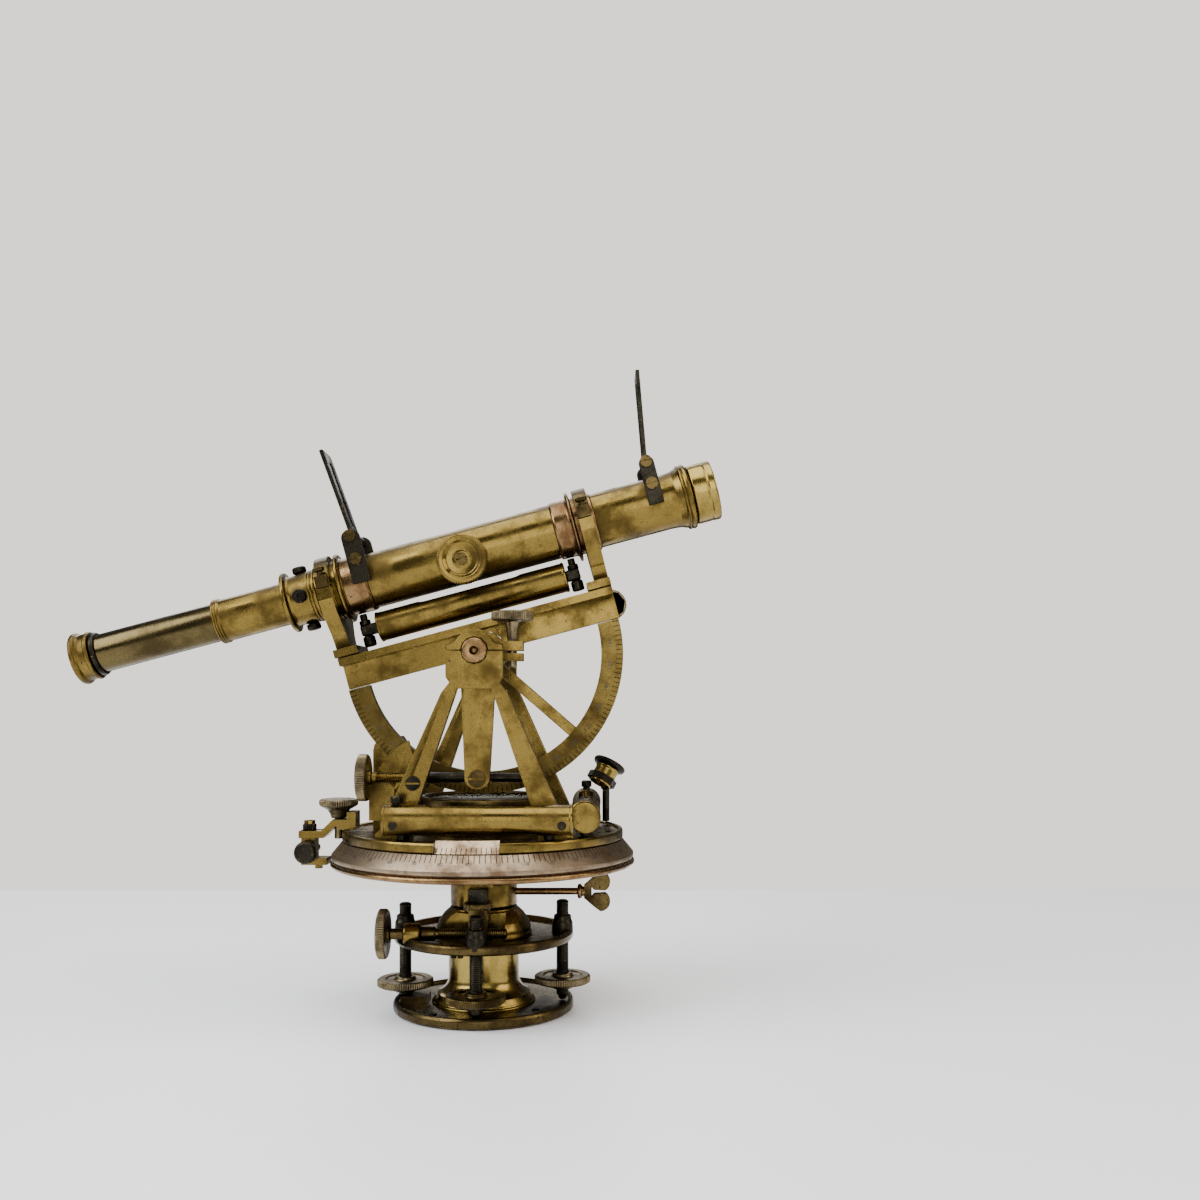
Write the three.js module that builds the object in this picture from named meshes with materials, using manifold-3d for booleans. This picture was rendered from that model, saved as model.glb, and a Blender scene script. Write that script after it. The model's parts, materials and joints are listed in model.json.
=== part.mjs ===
// Antique brass Y-theodolite: a four-screw levelling base, a silvered horizontal limb
// with its vernier plate, two A-frame standards carrying the trunnion, a vertical arc
// below the stage bar, and a telescope held in two wyes by hinged clips.
//
// Millimetres, +Z up. The origin is the centre of the foot plate's underside. X runs
// along the telescope towards the objective, and the scales face -Y.

import * as THREE from "three";
import { mergeVertices } from "three/addons/utils/BufferGeometryUtils.js";
import Module from "manifold-3d";

const wasm = await Module();
wasm.setup();

// ---------------------------------------------------------------------------
// Driving dimensions
// ---------------------------------------------------------------------------

const GAP = 0.3; // clearance between a turned piece and its seat
const FINENESS = 0.42; // share of each turned form's nominal facets that is kept
const DEGREES = Math.PI / 180;

const FOOT_RADIUS = 33.4;
const FOOT_HEIGHT = 4.2;
const FOOT_FLOOR = 2.7; // level inside the raised rim
const BALL_RADIUS = 9.5;
const BALL_Z = 14.5;
const CUP_TOP = 24;

const HEAD_RADIUS = 33.2; // upper parallel plate
const HEAD_BOTTOM = 25.5;
const HEAD_FLOOR = 27.5;
const HEAD_TOP = 29.5;
const SCREW_CIRCLE = 29.3; // radius on which the four levelling screws stand
const SCREW_RADIUS = 2.3;
const TIP_CLEARANCE = 0.4;
const KNOB_RADIUS = 10.4;
const KNOB_THICKNESS = 3;

const SLEEVE_TOP = 38;
const COLLAR_BOTTOM = 38.3;
const COLLAR_TOP = 47.5;
const OUTER_AXIS_RADIUS = 9.2;
const INNER_AXIS_RADIUS = 3.9;
const TANGENT_Y = -17.5; // lower tangent screw
const TANGENT_Z = 30.7;
const CLAMP_ROD_Z = 43.2;

const LIMB_RADIUS = 55.7;
const LIMB_BOTTOM = 53.7;
const LIMB_EDGE_TOP = 58.2;
const LIMB_TOP = 63.2;
const LIMB_TOP_RADIUS = 51.6;
const PLATE_BOTTOM = LIMB_TOP + GAP;
const PLATE_FLOOR = 66;
const PLATE_RIM_TOP = 67.1;
const PLATE_RADIUS = 51.8;
const VERNIER_HALF_WIDTH = 11;
const VERNIER_X = -1; // middle of the front reading window

const STANDARD_Y = 33; // mid-plane of each A-frame
const STANDARD_THICKNESS = 5;
const TRUNNION_Z = 131.6;
const TRUNNION_RADIUS = 4.4;
const REST_ELEVATION = 15 * DEGREES;

const ARC_OUTER = 51.9;
const ARC_INNER = 43.8;
const ARC_HALF_THICKNESS = 2.2;
const BAR_TOP = 11.7; // above the trunnion axis
const TUBE_HEIGHT = 37.2; // telescope axis above the trunnion axis
const TUBE_RADIUS = 10.15;
const TUBE_COLLAR_RADIUS = 10.8;
const WYE_SEAT_RADIUS = 11.1;
const LEFT_WYE_U = -48.8;
const RIGHT_WYE_U = 49.4;
const WYE_THICKNESS = 5.2;

const COMPASS_RADIUS = 24;
const FRONT_LEVEL_Y = -42;
const FRONT_LEVEL_Z = 73.9;
const SIDE_LEVEL_X = 38;
const SIDE_LEVEL_Z = 74.3;

// ---------------------------------------------------------------------------
// Materials
// ---------------------------------------------------------------------------

function metal(color, roughness) {
  return new THREE.MeshStandardMaterial({ color, roughness, metalness: 1 });
}

const brass = metal(0xb49a58, 0.35);
const paleBrass = metal(0xc8b06a, 0.3);
const agedBrass = metal(0x8a7444, 0.45);
const copperyBrass = metal(0xa87f5c, 0.4);
const silvered = metal(0xb0a69a, 0.4);
const darkBronze = metal(0x4a463c, 0.5);
const knurledBronze = metal(0x6a6250, 0.5);
const steel = metal(0x6c6f74, 0.3);
const glass = new THREE.MeshStandardMaterial({
  color: 0xe6ece6,
  roughness: 0.05,
  metalness: 0,
  transparent: true,
  opacity: 0.4,
});

// ---------------------------------------------------------------------------
// Closed meshes, joined and cut
// ---------------------------------------------------------------------------

// Six times the volume that the triangles enclose, negative when they face inwards.
function signedVolume(position, index) {
  const a = new THREE.Vector3();
  const b = new THREE.Vector3();
  const c = new THREE.Vector3();
  let total = 0;
  for (let i = 0; i < index.length; i += 3) {
    a.fromBufferAttribute(position, index[i]);
    b.fromBufferAttribute(position, index[i + 1]);
    c.fromBufferAttribute(position, index[i + 2]);
    total += a.dot(b.cross(c));
  }
  return total;
}

function toSolid(geometry) {
  const bare = geometry.clone();
  bare.deleteAttribute("normal");
  bare.deleteAttribute("uv");
  const merged = mergeVertices(bare, 1e-4);
  const position = merged.getAttribute("position");
  const index = merged.getIndex().array;
  const triVerts = [];
  const inwards = signedVolume(position, index) < 0;
  for (let i = 0; i < index.length; i += 3) {
    const [a, b, c] = [index[i], index[i + 1], index[i + 2]];
    if (a === b || b === c || c === a) continue;
    triVerts.push(a, inwards ? c : b, inwards ? b : c);
  }
  const mesh = new wasm.Mesh({
    numProp: 3,
    vertProperties: new Float32Array(position.array),
    triVerts: new Uint32Array(triVerts),
  });
  return new wasm.Manifold(mesh);
}

function toGeometry(solid) {
  const { vertProperties, triVerts } = solid.getMesh();
  const geometry = new THREE.BufferGeometry();
  geometry.setAttribute("position", new THREE.BufferAttribute(vertProperties, 3));
  geometry.setIndex(new THREE.BufferAttribute(triVerts, 1));
  geometry.computeVertexNormals();
  return geometry;
}

function join(...pieces) {
  return toGeometry(pieces.map(toSolid).reduce((whole, piece) => whole.add(piece)));
}

function cut(body, ...tools) {
  return toGeometry(tools.map(toSolid).reduce((rest, tool) => rest.subtract(tool), toSolid(body)));
}

function common(body, other) {
  return toGeometry(toSolid(body).intersect(toSolid(other)));
}

// ---------------------------------------------------------------------------
// Basic forms
// ---------------------------------------------------------------------------

// A solid of revolution about Z. The profile is a list of [radius, height] points that
// starts and ends on the axis, or closes on itself.
function turned(profile, segments = 32) {
  const points = profile.map(([radius, height]) => new THREE.Vector2(radius, height));
  const facets = Math.max(8, 2 * Math.round((segments * FINENESS) / 2));
  return new THREE.LatheGeometry(points, facets).rotateX(Math.PI / 2);
}

function alongX(geometry) {
  return geometry.rotateY(Math.PI / 2);
}

function alongY(geometry) {
  return geometry.rotateX(-Math.PI / 2);
}

function rod(radius, from, to, segments = 16) {
  return turned([[0, from], [radius, from], [radius, to], [0, to]], segments);
}

function ring(inner, outer, from, to, segments = 32) {
  const profile = [[inner, from], [outer, from], [outer, to], [inner, to], [inner, from]];
  return turned(profile, segments);
}

function block(x0, x1, y0, y1, z0, z1) {
  const box = new THREE.BoxGeometry(x1 - x0, y1 - y0, z1 - z0);
  return box.translate((x0 + x1) / 2, (y0 + y1) / 2, (z0 + z1) / 2);
}

function outline(points) {
  return new THREE.Shape(points.map(([x, y]) => new THREE.Vector2(x, y)));
}

// A plate cut to an outline of [x, z] points, standing between y0 and y1.
function standing(points, y0, y1) {
  const options = { depth: y1 - y0, bevelEnabled: false };
  return new THREE.ExtrudeGeometry(outline(points), options).rotateX(Math.PI / 2).translate(0, y1, 0);
}

// A plate cut to an outline of [y, z] points, standing between x0 and x1.
function crosswise(points, x0, x1) {
  const options = { depth: x1 - x0, bevelEnabled: false };
  const plate = new THREE.ExtrudeGeometry(outline(points), options);
  return plate.rotateX(Math.PI / 2).rotateZ(Math.PI / 2).translate(x0, 0, 0);
}

function flat(points, z0, z1) {
  const options = { depth: z1 - z0, bevelEnabled: false };
  return new THREE.ExtrudeGeometry(outline(points), options).translate(0, 0, z0);
}

// Points on a circle from one angle to another, both in degrees and both included.
function arc(x, y, radius, from, to, steps) {
  return Array.from({ length: steps + 1 }, (_, i) => {
    const angle = (from + ((to - from) * i) / steps) * DEGREES;
    return [x + radius * Math.cos(angle), y + radius * Math.sin(angle)];
  });
}

// A disc with broken edges and a slightly dished face, the form of the milled heads.
function milledHead(radius, bottom, top, segments = 28) {
  const edge = 0.5;
  return turned(
    [
      [0, bottom],
      [radius - edge, bottom],
      [radius, bottom + edge],
      [radius, top - edge],
      [radius - edge, top],
      [radius * 0.72, top],
      [radius * 0.62, top - edge],
      [0, top - edge],
    ],
    segments,
  );
}

function node(name, geometry, material) {
  const mesh = new THREE.Mesh(geometry, material);
  mesh.name = name;
  return mesh;
}

function assembly(...children) {
  const group = new THREE.Group();
  group.add(...children);
  return group;
}

// ---------------------------------------------------------------------------
// Foot: the plate that rests on the staff head, and the trumpet over the ball
// ---------------------------------------------------------------------------

function footPlate() {
  const seat = BALL_RADIUS + GAP;
  const padRadius = 9.4;
  const bowl = arc(0, BALL_Z, seat, 270, 320, 5);
  const padTop = bowl.at(-1)[1];
  const plate = turned(
    [
      [0, 0],
      [FOOT_RADIUS - 0.8, 0],
      [FOOT_RADIUS, 0.8],
      [FOOT_RADIUS, FOOT_HEIGHT - 0.8],
      [FOOT_RADIUS - 0.8, FOOT_HEIGHT],
      [32, FOOT_HEIGHT],
      [31.4, FOOT_FLOOR],
      [padRadius, FOOT_FLOOR],
      [padRadius, padTop],
      ...bowl.reverse(),
    ],
    48,
  );
  const stop = block(-30.6, -20.5, -5, 5, FOOT_FLOOR - 0.5, 5);
  const slot = block(-40, -26.5, -2.6, 2.6, FOOT_FLOOR, 6);
  return cut(join(plate, stop), slot);
}

function ballCup() {
  const seat = BALL_RADIUS + GAP;
  const flare = arc(19.5, 12.6, 6.6, 180, 251, 6).reverse();
  return turned(
    [
      [seat, FOOT_FLOOR],
      [19.2, FOOT_FLOOR],
      [19.2, FOOT_FLOOR + 0.8],
      [18.2, 5.2],
      ...flare,
      [13, 20],
      [13.1, CUP_TOP - 0.6],
      [12.6, CUP_TOP],
      [9.2, CUP_TOP],
      ...arc(0, BALL_Z, seat, 35, 0, 4),
      [seat, FOOT_FLOOR],
    ],
    36,
  );
}

function levellingBall() {
  return new THREE.SphereGeometry(BALL_RADIUS, 20, 10).rotateX(Math.PI / 2).translate(0, 0, BALL_Z);
}

// ---------------------------------------------------------------------------
// Levelling head: upper plate, its four screws, and the sleeve of the vertical axis
// ---------------------------------------------------------------------------

const SCREW_STATIONS = [
  { side: "left", x: -SCREW_CIRCLE, y: 0, top: 39, knob: 8, lift: 0 },
  { side: "right", x: SCREW_CIRCLE, y: 0, top: 40.1, knob: 9.3, lift: 0 },
  { side: "front", x: 0, y: -SCREW_CIRCLE, top: 39.4, knob: 8.9, lift: 0 },
  { side: "rear", x: 0, y: SCREW_CIRCLE, top: 39.6, knob: 9, lift: 0 },
];

function upperPlate() {
  const neck = 6;
  const seat = arc(0, BALL_Z, BALL_RADIUS + GAP, 90, 52.25, 4);
  const disc = turned(
    [
      ...seat,
      [neck, HEAD_BOTTOM],
      [HEAD_RADIUS - 1.2, HEAD_BOTTOM],
      [HEAD_RADIUS, HEAD_BOTTOM + 1],
      [HEAD_RADIUS, HEAD_TOP - 0.8],
      [HEAD_RADIUS - 0.9, HEAD_TOP],
      [HEAD_RADIUS - 2, HEAD_TOP],
      [HEAD_RADIUS - 2.8, HEAD_FLOOR],
      [0, HEAD_FLOOR],
    ],
    48,
  );
  const bosses = SCREW_STATIONS.map(({ x, y }) => {
    const profile = [[0, 26.5], [4, 26.5], [3.9, 32], [3.3, 34.7], [0, 34.7]];
    return turned(profile, 16).translate(x, y, 0);
  });
  const bearing = block(-27, -21, TANGENT_Y - 3.6, TANGENT_Y + 3.6, 26.5, TANGENT_Z + 3);
  const holes = SCREW_STATIONS.map(({ x, y }) => rod(SCREW_RADIUS + GAP, 20, 40).translate(x, y, 0));
  const journal = alongX(rod(2 + GAP, -40, -15)).translate(0, TANGENT_Y, TANGENT_Z);
  return cut(join(disc, ...bosses, bearing), ...holes, journal);
}

function axisSleeve() {
  const bore = 6.8;
  const body = turned(
    [
      [bore, HEAD_FLOOR],
      [17.9, HEAD_FLOOR],
      [17.6, 30.2],
      [16.6, 33],
      [14.9, 35.4],
      [13.2, 36.8],
      [12.6, SLEEVE_TOP],
      [bore, SLEEVE_TOP],
      [bore, HEAD_FLOOR],
    ],
    36,
  );
  const window = block(-20, 9, -20, -9.6, HEAD_FLOOR - 1, 36.9);
  return cut(body, window);
}

function levellingScrew({ x, y, top }) {
  const tip = FOOT_FLOOR + TIP_CLEARANCE;
  return turned(
    [[0, tip], [1.8, tip], [1.8, 4.6], [SCREW_RADIUS, 5], [SCREW_RADIUS, top - 0.6], [1.8, top], [0, top]],
    14,
  ).translate(x, y, 0);
}

function levellingKnob({ x, y, knob }) {
  const bore = SCREW_RADIUS + GAP;
  const top = knob + KNOB_THICKNESS;
  return turned(
    [
      [bore, knob - 2],
      [4.1, knob - 2],
      [4.1, knob],
      [KNOB_RADIUS - 0.5, knob],
      [KNOB_RADIUS, knob + 0.5],
      [KNOB_RADIUS, top - 0.5],
      [KNOB_RADIUS - 0.5, top],
      [7.2, top],
      [6.4, top - 0.7],
      [3.8, top - 0.7],
      [3.8, top + 0.8],
      [bore, top + 0.8],
      [bore, knob - 2],
    ],
    26,
  ).translate(x, y, 0);
}

function lowerTangentScrew() {
  const head = alongX(milledHead(8.95, 32.8, 36.2, 30)).rotateZ(Math.PI);
  const shaft = alongX(
    turned([[0, -33.4], [2, -33.4], [2, -21], [2.6, -19.4], [2.6, -16], [1.9, -14], [1.9, 10], [0, 10]], 14),
  );
  return join(head, shaft).translate(0, TANGENT_Y, TANGENT_Z);
}

// ---------------------------------------------------------------------------
// Lower clamp: the split collar that grips the outer axis, with its rod and arm
// ---------------------------------------------------------------------------

function clampCollar() {
  const band = ring(OUTER_AXIS_RADIUS + GAP, 12.3, COLLAR_BOTTOM, COLLAR_TOP, 32);
  const recess = block(-6.4, 4.4, -20, -10.6, COLLAR_BOTTOM + 1, COLLAR_TOP + 1);
  const split = block(-4.4, 2.6, -15, -10, COLLAR_BOTTOM + 2.6, 46);
  const nut = rod(4.9, COLLAR_BOTTOM + 0.1, 41.6, 12).translate(-1, -14.9, 0);
  const arm = block(-3.6, 3, -20.2, -13.8, TANGENT_Z - 2.8, COLLAR_BOTTOM + 1.2);
  const eye = alongX(rod(2.4, -6, 6)).translate(0, TANGENT_Y, TANGENT_Z);
  const boss = alongX(rod(3.1, 11.4, 15, 16)).translate(0, 0, CLAMP_ROD_Z);
  const hole = alongX(rod(1.6, 10.9, 16, 12)).translate(0, 0, CLAMP_ROD_Z);
  return cut(join(cut(band, recess), split, nut, arm, boss), eye, hole);
}

function lowerClampScrew() {
  const spindle = alongX(rod(1.3, 11.4, 36, 12));
  const flange = alongX(turned([[0, 35], [2.75, 35], [2.75, 36.4], [2, 37.6], [1.6, 39], [0, 39]], 16));
  const lobe = (z) => alongY(rod(3.7, -1.75, 1.75, 20)).translate(43.4, 0, z);
  const web = block(37, 45, -1.6, 1.6, -3.2, 3.2);
  return join(spindle, flange, web, lobe(3.6), lobe(-3.6)).translate(0, 0, CLAMP_ROD_Z);
}

// ---------------------------------------------------------------------------
// Limb: the silvered horizontal circle on the outer axis
// ---------------------------------------------------------------------------

function limbPlate() {
  const bore = INNER_AXIS_RADIUS + GAP;
  return turned(
    [
      [bore, 48],
      [13, 48],
      [14, 49.5],
      [14, LIMB_BOTTOM],
      [LIMB_RADIUS - 0.6, LIMB_BOTTOM],
      [LIMB_RADIUS + 0.4, LIMB_BOTTOM + 0.8],
      [LIMB_RADIUS + 0.4, LIMB_BOTTOM + 1.9],
      [LIMB_RADIUS - 0.6, LIMB_BOTTOM + 2.3],
      [LIMB_RADIUS - 0.6, LIMB_BOTTOM + 2.8],
      [LIMB_RADIUS, LIMB_BOTTOM + 3.2],
      [LIMB_RADIUS, LIMB_EDGE_TOP],
      [LIMB_TOP_RADIUS, LIMB_TOP],
      [bore, LIMB_TOP],
      [bore, 48],
    ],
    72,
  );
}

function outerAxis() {
  const bore = INNER_AXIS_RADIUS + GAP;
  return turned(
    [
      [bore, 29],
      [6.3, 29],
      [6.5, SLEEVE_TOP + 0.2],
      [OUTER_AXIS_RADIUS, SLEEVE_TOP + 0.2],
      [OUTER_AXIS_RADIUS, 48],
      [bore, 48],
      [bore, 29],
    ],
    32,
  );
}

// ---------------------------------------------------------------------------
// Alidade: vernier plate, standards, levels, compass and upper clamp
// ---------------------------------------------------------------------------

function vernierWindow() {
  const left = VERNIER_X - VERNIER_HALF_WIDTH;
  const right = VERNIER_X + VERNIER_HALF_WIDTH;
  return block(left, right, -60, -44, PLATE_BOTTOM - 1, PLATE_RIM_TOP + 4);
}

function vernierPlate() {
  const disc = turned(
    [
      [0, PLATE_BOTTOM],
      [PLATE_RADIUS, PLATE_BOTTOM],
      [PLATE_RADIUS, PLATE_RIM_TOP - 0.5],
      [PLATE_RADIUS - 0.5, PLATE_RIM_TOP],
      [PLATE_RADIUS - 1.5, PLATE_RIM_TOP],
      [PLATE_RADIUS - 2, PLATE_RIM_TOP - 0.5],
      [PLATE_RADIUS - 2, PLATE_FLOOR],
      [0, PLATE_FLOOR],
    ],
    72,
  );
  return cut(disc, vernierWindow());
}

function innerAxis() {
  return rod(INNER_AXIS_RADIUS, 31, PLATE_BOTTOM, 24);
}

function frontVernier() {
  const bevel = turned(
    [[46.6, PLATE_BOTTOM], [51.2, PLATE_BOTTOM], [47.8, 67.6], [46.6, 67.6], [46.6, PLATE_BOTTOM]],
    72,
  );
  const half = VERNIER_HALF_WIDTH - 0.2;
  const span = block(VERNIER_X - half, VERNIER_X + half, -60, -40, PLATE_BOTTOM - 1, 70);
  return common(bevel, span);
}

// The two legs and bearing block of one A-frame, as [x, z] points.
const STANDARD_OUTLINE = [
  [-34, PLATE_FLOOR],
  [-34, 68.5],
  [-32.4, 70],
  [-11.4, 117],
  [-8.6, 120.6],
  [-9.85, 122.5],
  [-9.85, TRUNNION_Z - 0.15],
  [9.85, TRUNNION_Z - 0.15],
  [9.85, 122.5],
  [8.6, 120.6],
  [11.4, 117],
  [32.4, 70],
  [34, 68.5],
  [34, PLATE_FLOOR],
  [22, PLATE_FLOOR],
  [22, 68.5],
  [21.6, 72],
  [6, 118.5],
  [-6, 118.5],
  [-21.6, 72],
  [-22, 68.5],
  [-22, PLATE_FLOOR],
];

function trunnionBore() {
  return alongY(rod(TRUNNION_RADIUS + GAP, -40, 40, 28)).translate(0, 0, TRUNNION_Z);
}

function standard(facing) {
  const outer = facing * (STANDARD_Y + STANDARD_THICKNESS / 2);
  const inner = facing * (STANDARD_Y - STANDARD_THICKNESS / 2);
  const frame = standing(STANDARD_OUTLINE, Math.min(outer, inner), Math.max(outer, inner));
  const toe = facing * 27.5;
  const foot = (x0, x1) => block(x0, x1, Math.min(toe, inner), Math.max(toe, inner), PLATE_FLOOR, 68.5);
  return cut(join(frame, foot(-34, -22), foot(22, 34)), trunnionBore());
}

const VERTICAL_TANGENT_Y = -14.5;
const VERTICAL_TANGENT_Z = 86.5;

// The front standard also carries the bearing of the vertical tangent screw.
function frontStandard() {
  const y = VERTICAL_TANGENT_Y;
  const z = VERTICAL_TANGENT_Z;
  const eye = alongX(rod(3.6, -23.5, -18.5, 16)).translate(0, y, z);
  const arm = block(-23.5, -18.5, -31, y - 2.6, z - 2.4, z + 2.4);
  const screw = alongY(turned([[0, -36.6], [2.4, -36.6], [2.4, -34], [0, -34]], 14)).translate(-21, 0, 85.9);
  const hole = alongX(rod(2.3, -30, -15)).translate(0, y, z);
  return cut(join(standard(-1), arm, eye, screw), hole);
}

function bearingCap(facing) {
  const y = facing * STANDARD_Y;
  const half = STANDARD_THICKNESS / 2;
  const bottom = TRUNNION_Z + 0.15;
  const body = standing(
    [
      [-9.85, bottom],
      [9.85, bottom],
      [9.85, bottom + 1.7],
      [7.4, bottom + 2.2],
      ...arc(0, TRUNNION_Z, 7.2, 24, 156, 8),
      [-7.4, bottom + 2.2],
      [-9.85, bottom + 1.7],
    ],
    y - half,
    y + half,
  );
  return cut(body, trunnionBore());
}

// A spirit-level case along X from one end to the other, open on top by a slot.
function levelCase(radius, from, to, slotFrom, slotTo) {
  const wall = 0.9;
  const outside = turned(
    [[0, from], [radius - 0.4, from], [radius, from + 0.4], [radius, to - 0.4], [radius - 0.4, to], [0, to]],
    24,
  );
  const inside = rod(radius - wall, from + 1.6, to - 1.6, 20);
  const slot = block(slotFrom, slotTo, -2.6, 2.6, 0, radius + 1);
  return cut(alongX(outside), alongX(inside), slot);
}

function levelVial(radius, from, to) {
  const tip = radius * 0.5;
  const profile = [[0, from], [tip, from], [radius, from + 1.6], [radius, to - 1.6], [tip, to], [0, to]];
  return alongX(turned(profile, 18));
}

function frontLevel() {
  const tube = levelCase(5.4, -30.2, 34.3, -16, 20).translate(0, FRONT_LEVEL_Y, FRONT_LEVEL_Z);
  const post = (x) => rod(1.8, PLATE_FLOOR, 69.6, 12).translate(x, -40, 0);
  const capstan = turned([[0, 79], [1.2, 79], [1.2, 79.6], [1.9, 79.8], [1.9, 81.6], [0, 82]], 12);
  return join(tube, post(-24), post(26), capstan.translate(-25.7, FRONT_LEVEL_Y, 0));
}

function frontVial() {
  return levelVial(4.1, -27.5, 31.6).translate(0, FRONT_LEVEL_Y, FRONT_LEVEL_Z);
}

function sideLevel() {
  const tube = levelCase(5.6, -36, 28, -22, 16).rotateZ(Math.PI / 2);
  const post = (y) => rod(1.8, PLATE_FLOOR, 69.2, 12).translate(SIDE_LEVEL_X, y, 0);
  const stem = turned([[0, 79.4], [1.4, 79.4], [1.4, 80.4], [2, 80.6], [2, 82.8], [0, 83]], 12);
  const placed = tube.translate(SIDE_LEVEL_X, 0, SIDE_LEVEL_Z);
  return join(placed, post(-27), post(22), stem.translate(SIDE_LEVEL_X, 23, 0));
}

function sideVial() {
  return levelVial(4.3, -33.4, 25.4).rotateZ(Math.PI / 2).translate(SIDE_LEVEL_X, 0, SIDE_LEVEL_Z);
}

const GLASS_BOTTOM = 76.8;

function compassBox() {
  return turned(
    [
      [0, PLATE_FLOOR],
      [COMPASS_RADIUS - 0.8, PLATE_FLOOR],
      [COMPASS_RADIUS - 0.8, 75.6],
      [COMPASS_RADIUS, 76.4],
      [COMPASS_RADIUS, 78.6],
      [COMPASS_RADIUS - 0.8, 79.2],
      [21.6, 79.2],
      [21.4, GLASS_BOTTOM - GAP],
      [20, GLASS_BOTTOM - GAP],
      [20, 69],
      [1, 69],
      [0.4, 73],
      [0, 73.1],
    ],
    40,
  );
}

function compassGlass() {
  return rod(21, GLASS_BOTTOM, GLASS_BOTTOM + 1.2, 40);
}

function compassNeedle() {
  const blade = flat([[-17, 0], [0, -1.8], [17, 0], [0, 1.8]], 73.6, 74.2);
  return join(blade, rod(1.8, 73.5, 75.2, 12));
}

const CLAMP_SCREW_X = -53.1;
const CLAMP_SCREW_Y = -5;
const UPPER_TANGENT_X = -63.8;
const UPPER_TANGENT_Z = 59;

function upperClampLug() {
  const y0 = CLAMP_SCREW_Y - 4;
  const y1 = CLAMP_SCREW_Y + 4;
  const strap = standing(
    [
      [-46, 70.8],
      [-54.6, 70.8],
      [-58.8, 66.6],
      [-67, 66.6],
      [-67, 64],
      [-57.8, 64],
      [-53.6, 68.2],
      [-52.4, 68.2],
      [-52.4, PLATE_RIM_TOP],
      [-46, PLATE_RIM_TOP],
    ],
    y0,
    y1,
  );
  const keeper = block(-49.4, -46, y0, y1, 70, 73.6);
  const cheek = block(-66.3, -61.3, y0 + 1, y1, 54, 65);
  const jaw = block(-66.3, -56.8, y0 + 1, y1, 54, 56.6);
  const stud = rod(2.1, 66, 70.2, 12).translate(-63.8, CLAMP_SCREW_Y, 0);
  const jawScrew = rod(1.5, 52.5, 55, 12).translate(-60.4, CLAMP_SCREW_Y, 0);
  const clampHole = rod(1.8, 60, 80, 12).translate(CLAMP_SCREW_X, CLAMP_SCREW_Y, 0);
  const tangentHole = alongY(rod(1.9, -20, 20, 12)).translate(UPPER_TANGENT_X, 0, UPPER_TANGENT_Z);
  return cut(join(strap, keeper, cheek, jaw, stud, jawScrew), clampHole, tangentHole);
}

function upperClampScrew() {
  return turned(
    [
      [0, 63.5],
      [1.5, 63.5],
      [1.5, 71.1],
      [2.9, 71.1],
      [3.4, 73.2],
      [4.6, 74.6],
      [6.8, 75.6],
      [7.1, 76.2],
      [7.1, 77.6],
      [6.5, 78.1],
      [3, 78.4],
      [0, 78.4],
    ],
    24,
  ).translate(CLAMP_SCREW_X, CLAMP_SCREW_Y, 0);
}

function upperTangentScrew() {
  const shape = turned(
    [[0, -13], [3.8, -13], [4.2, -12.5], [4.2, -10.2], [3.8, -9.7], [1.6, -9.4], [1.6, 6], [0, 6]],
    18,
  );
  return alongY(shape).translate(UPPER_TANGENT_X, 0, UPPER_TANGENT_Z);
}

// Carries the vertical arc's vernier: an upright plate behind the arc, a cheek that
// comes round its rim, and the vernier itself in front.
function vernierBracket() {
  const upright = standing(
    [
      [-42, PLATE_FLOOR],
      [-42, 93],
      ...arc(-37, 95.6, 5, 180, 90, 4),
      [-31, 101],
      [-25.5, 93],
      [-25.5, 84],
      [-29, 78],
      [-29, PLATE_FLOOR],
    ],
    3.2,
    7.2,
  );
  const cheek = standing([[-42, 70], [-42, 86], [-39.6, 88], [-35.2, 84.6], [-32.6, 82], [-32.6, 70]], -5, 4);
  const vernier = standing(
    [[-40.6, 80], [-34, 80], [-24.4, 89], [-27.4, 99.6], [-31.4, 97.2], [-40.6, 87]],
    -4.6,
    -2.6,
  );
  return join(upright, cheek, vernier);
}

const MICROSCOPE_POST = new THREE.Vector3(45.6, 21, PLATE_RIM_TOP);
const MICROSCOPE_AXIS = new THREE.Vector3(0.45, 0.3, 0.84).normalize();

// Lays a piece turned about Z along the microscope's sight line.
function alongMicroscope(geometry) {
  const turn = new THREE.Quaternion().setFromUnitVectors(new THREE.Vector3(0, 0, 1), MICROSCOPE_AXIS);
  return geometry.applyQuaternion(turn).translate(45.5, 18, 86.5);
}

function microscopeArm() {
  const post = turned([[0, 0.2], [1.4, 0.2], [1.4, 12.5], [2, 12.9], [2, 14.8], [0, 15]], 12);
  const clasp = alongMicroscope(ring(4.75, 5.8, -4.5, -2, 20));
  const placed = post.translate(MICROSCOPE_POST.x, MICROSCOPE_POST.y, MICROSCOPE_POST.z);
  const link = block(44.6, 46.6, 19.6, 22, 79, 84.4);
  const bore = alongMicroscope(rod(4.75, -12, 12, 20));
  return cut(join(placed, clasp, link), bore);
}

function microscopeBarrel() {
  return alongMicroscope(
    turned(
      [
        [3.2, -5.2],
        [4.4, -5.2],
        [4.4, 1],
        [5, 1.6],
        [6.45, 2.6],
        [6.45, 4],
        [5.6, 4.2],
        [3.2, 2],
        [3.2, -5.2],
      ],
      20,
    ),
  );
}

// ---------------------------------------------------------------------------
// Vertical clamp: the arm on the trunnion, its clamp screw and its tangent screw
// ---------------------------------------------------------------------------

const CLAMP_ARM_FRONT = -22;
const CLAMP_ARM_REAR = -17.4;
const VERTICAL_CLAMP_X = 12;
const VERTICAL_CLAMP_Y = -19.7;

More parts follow.
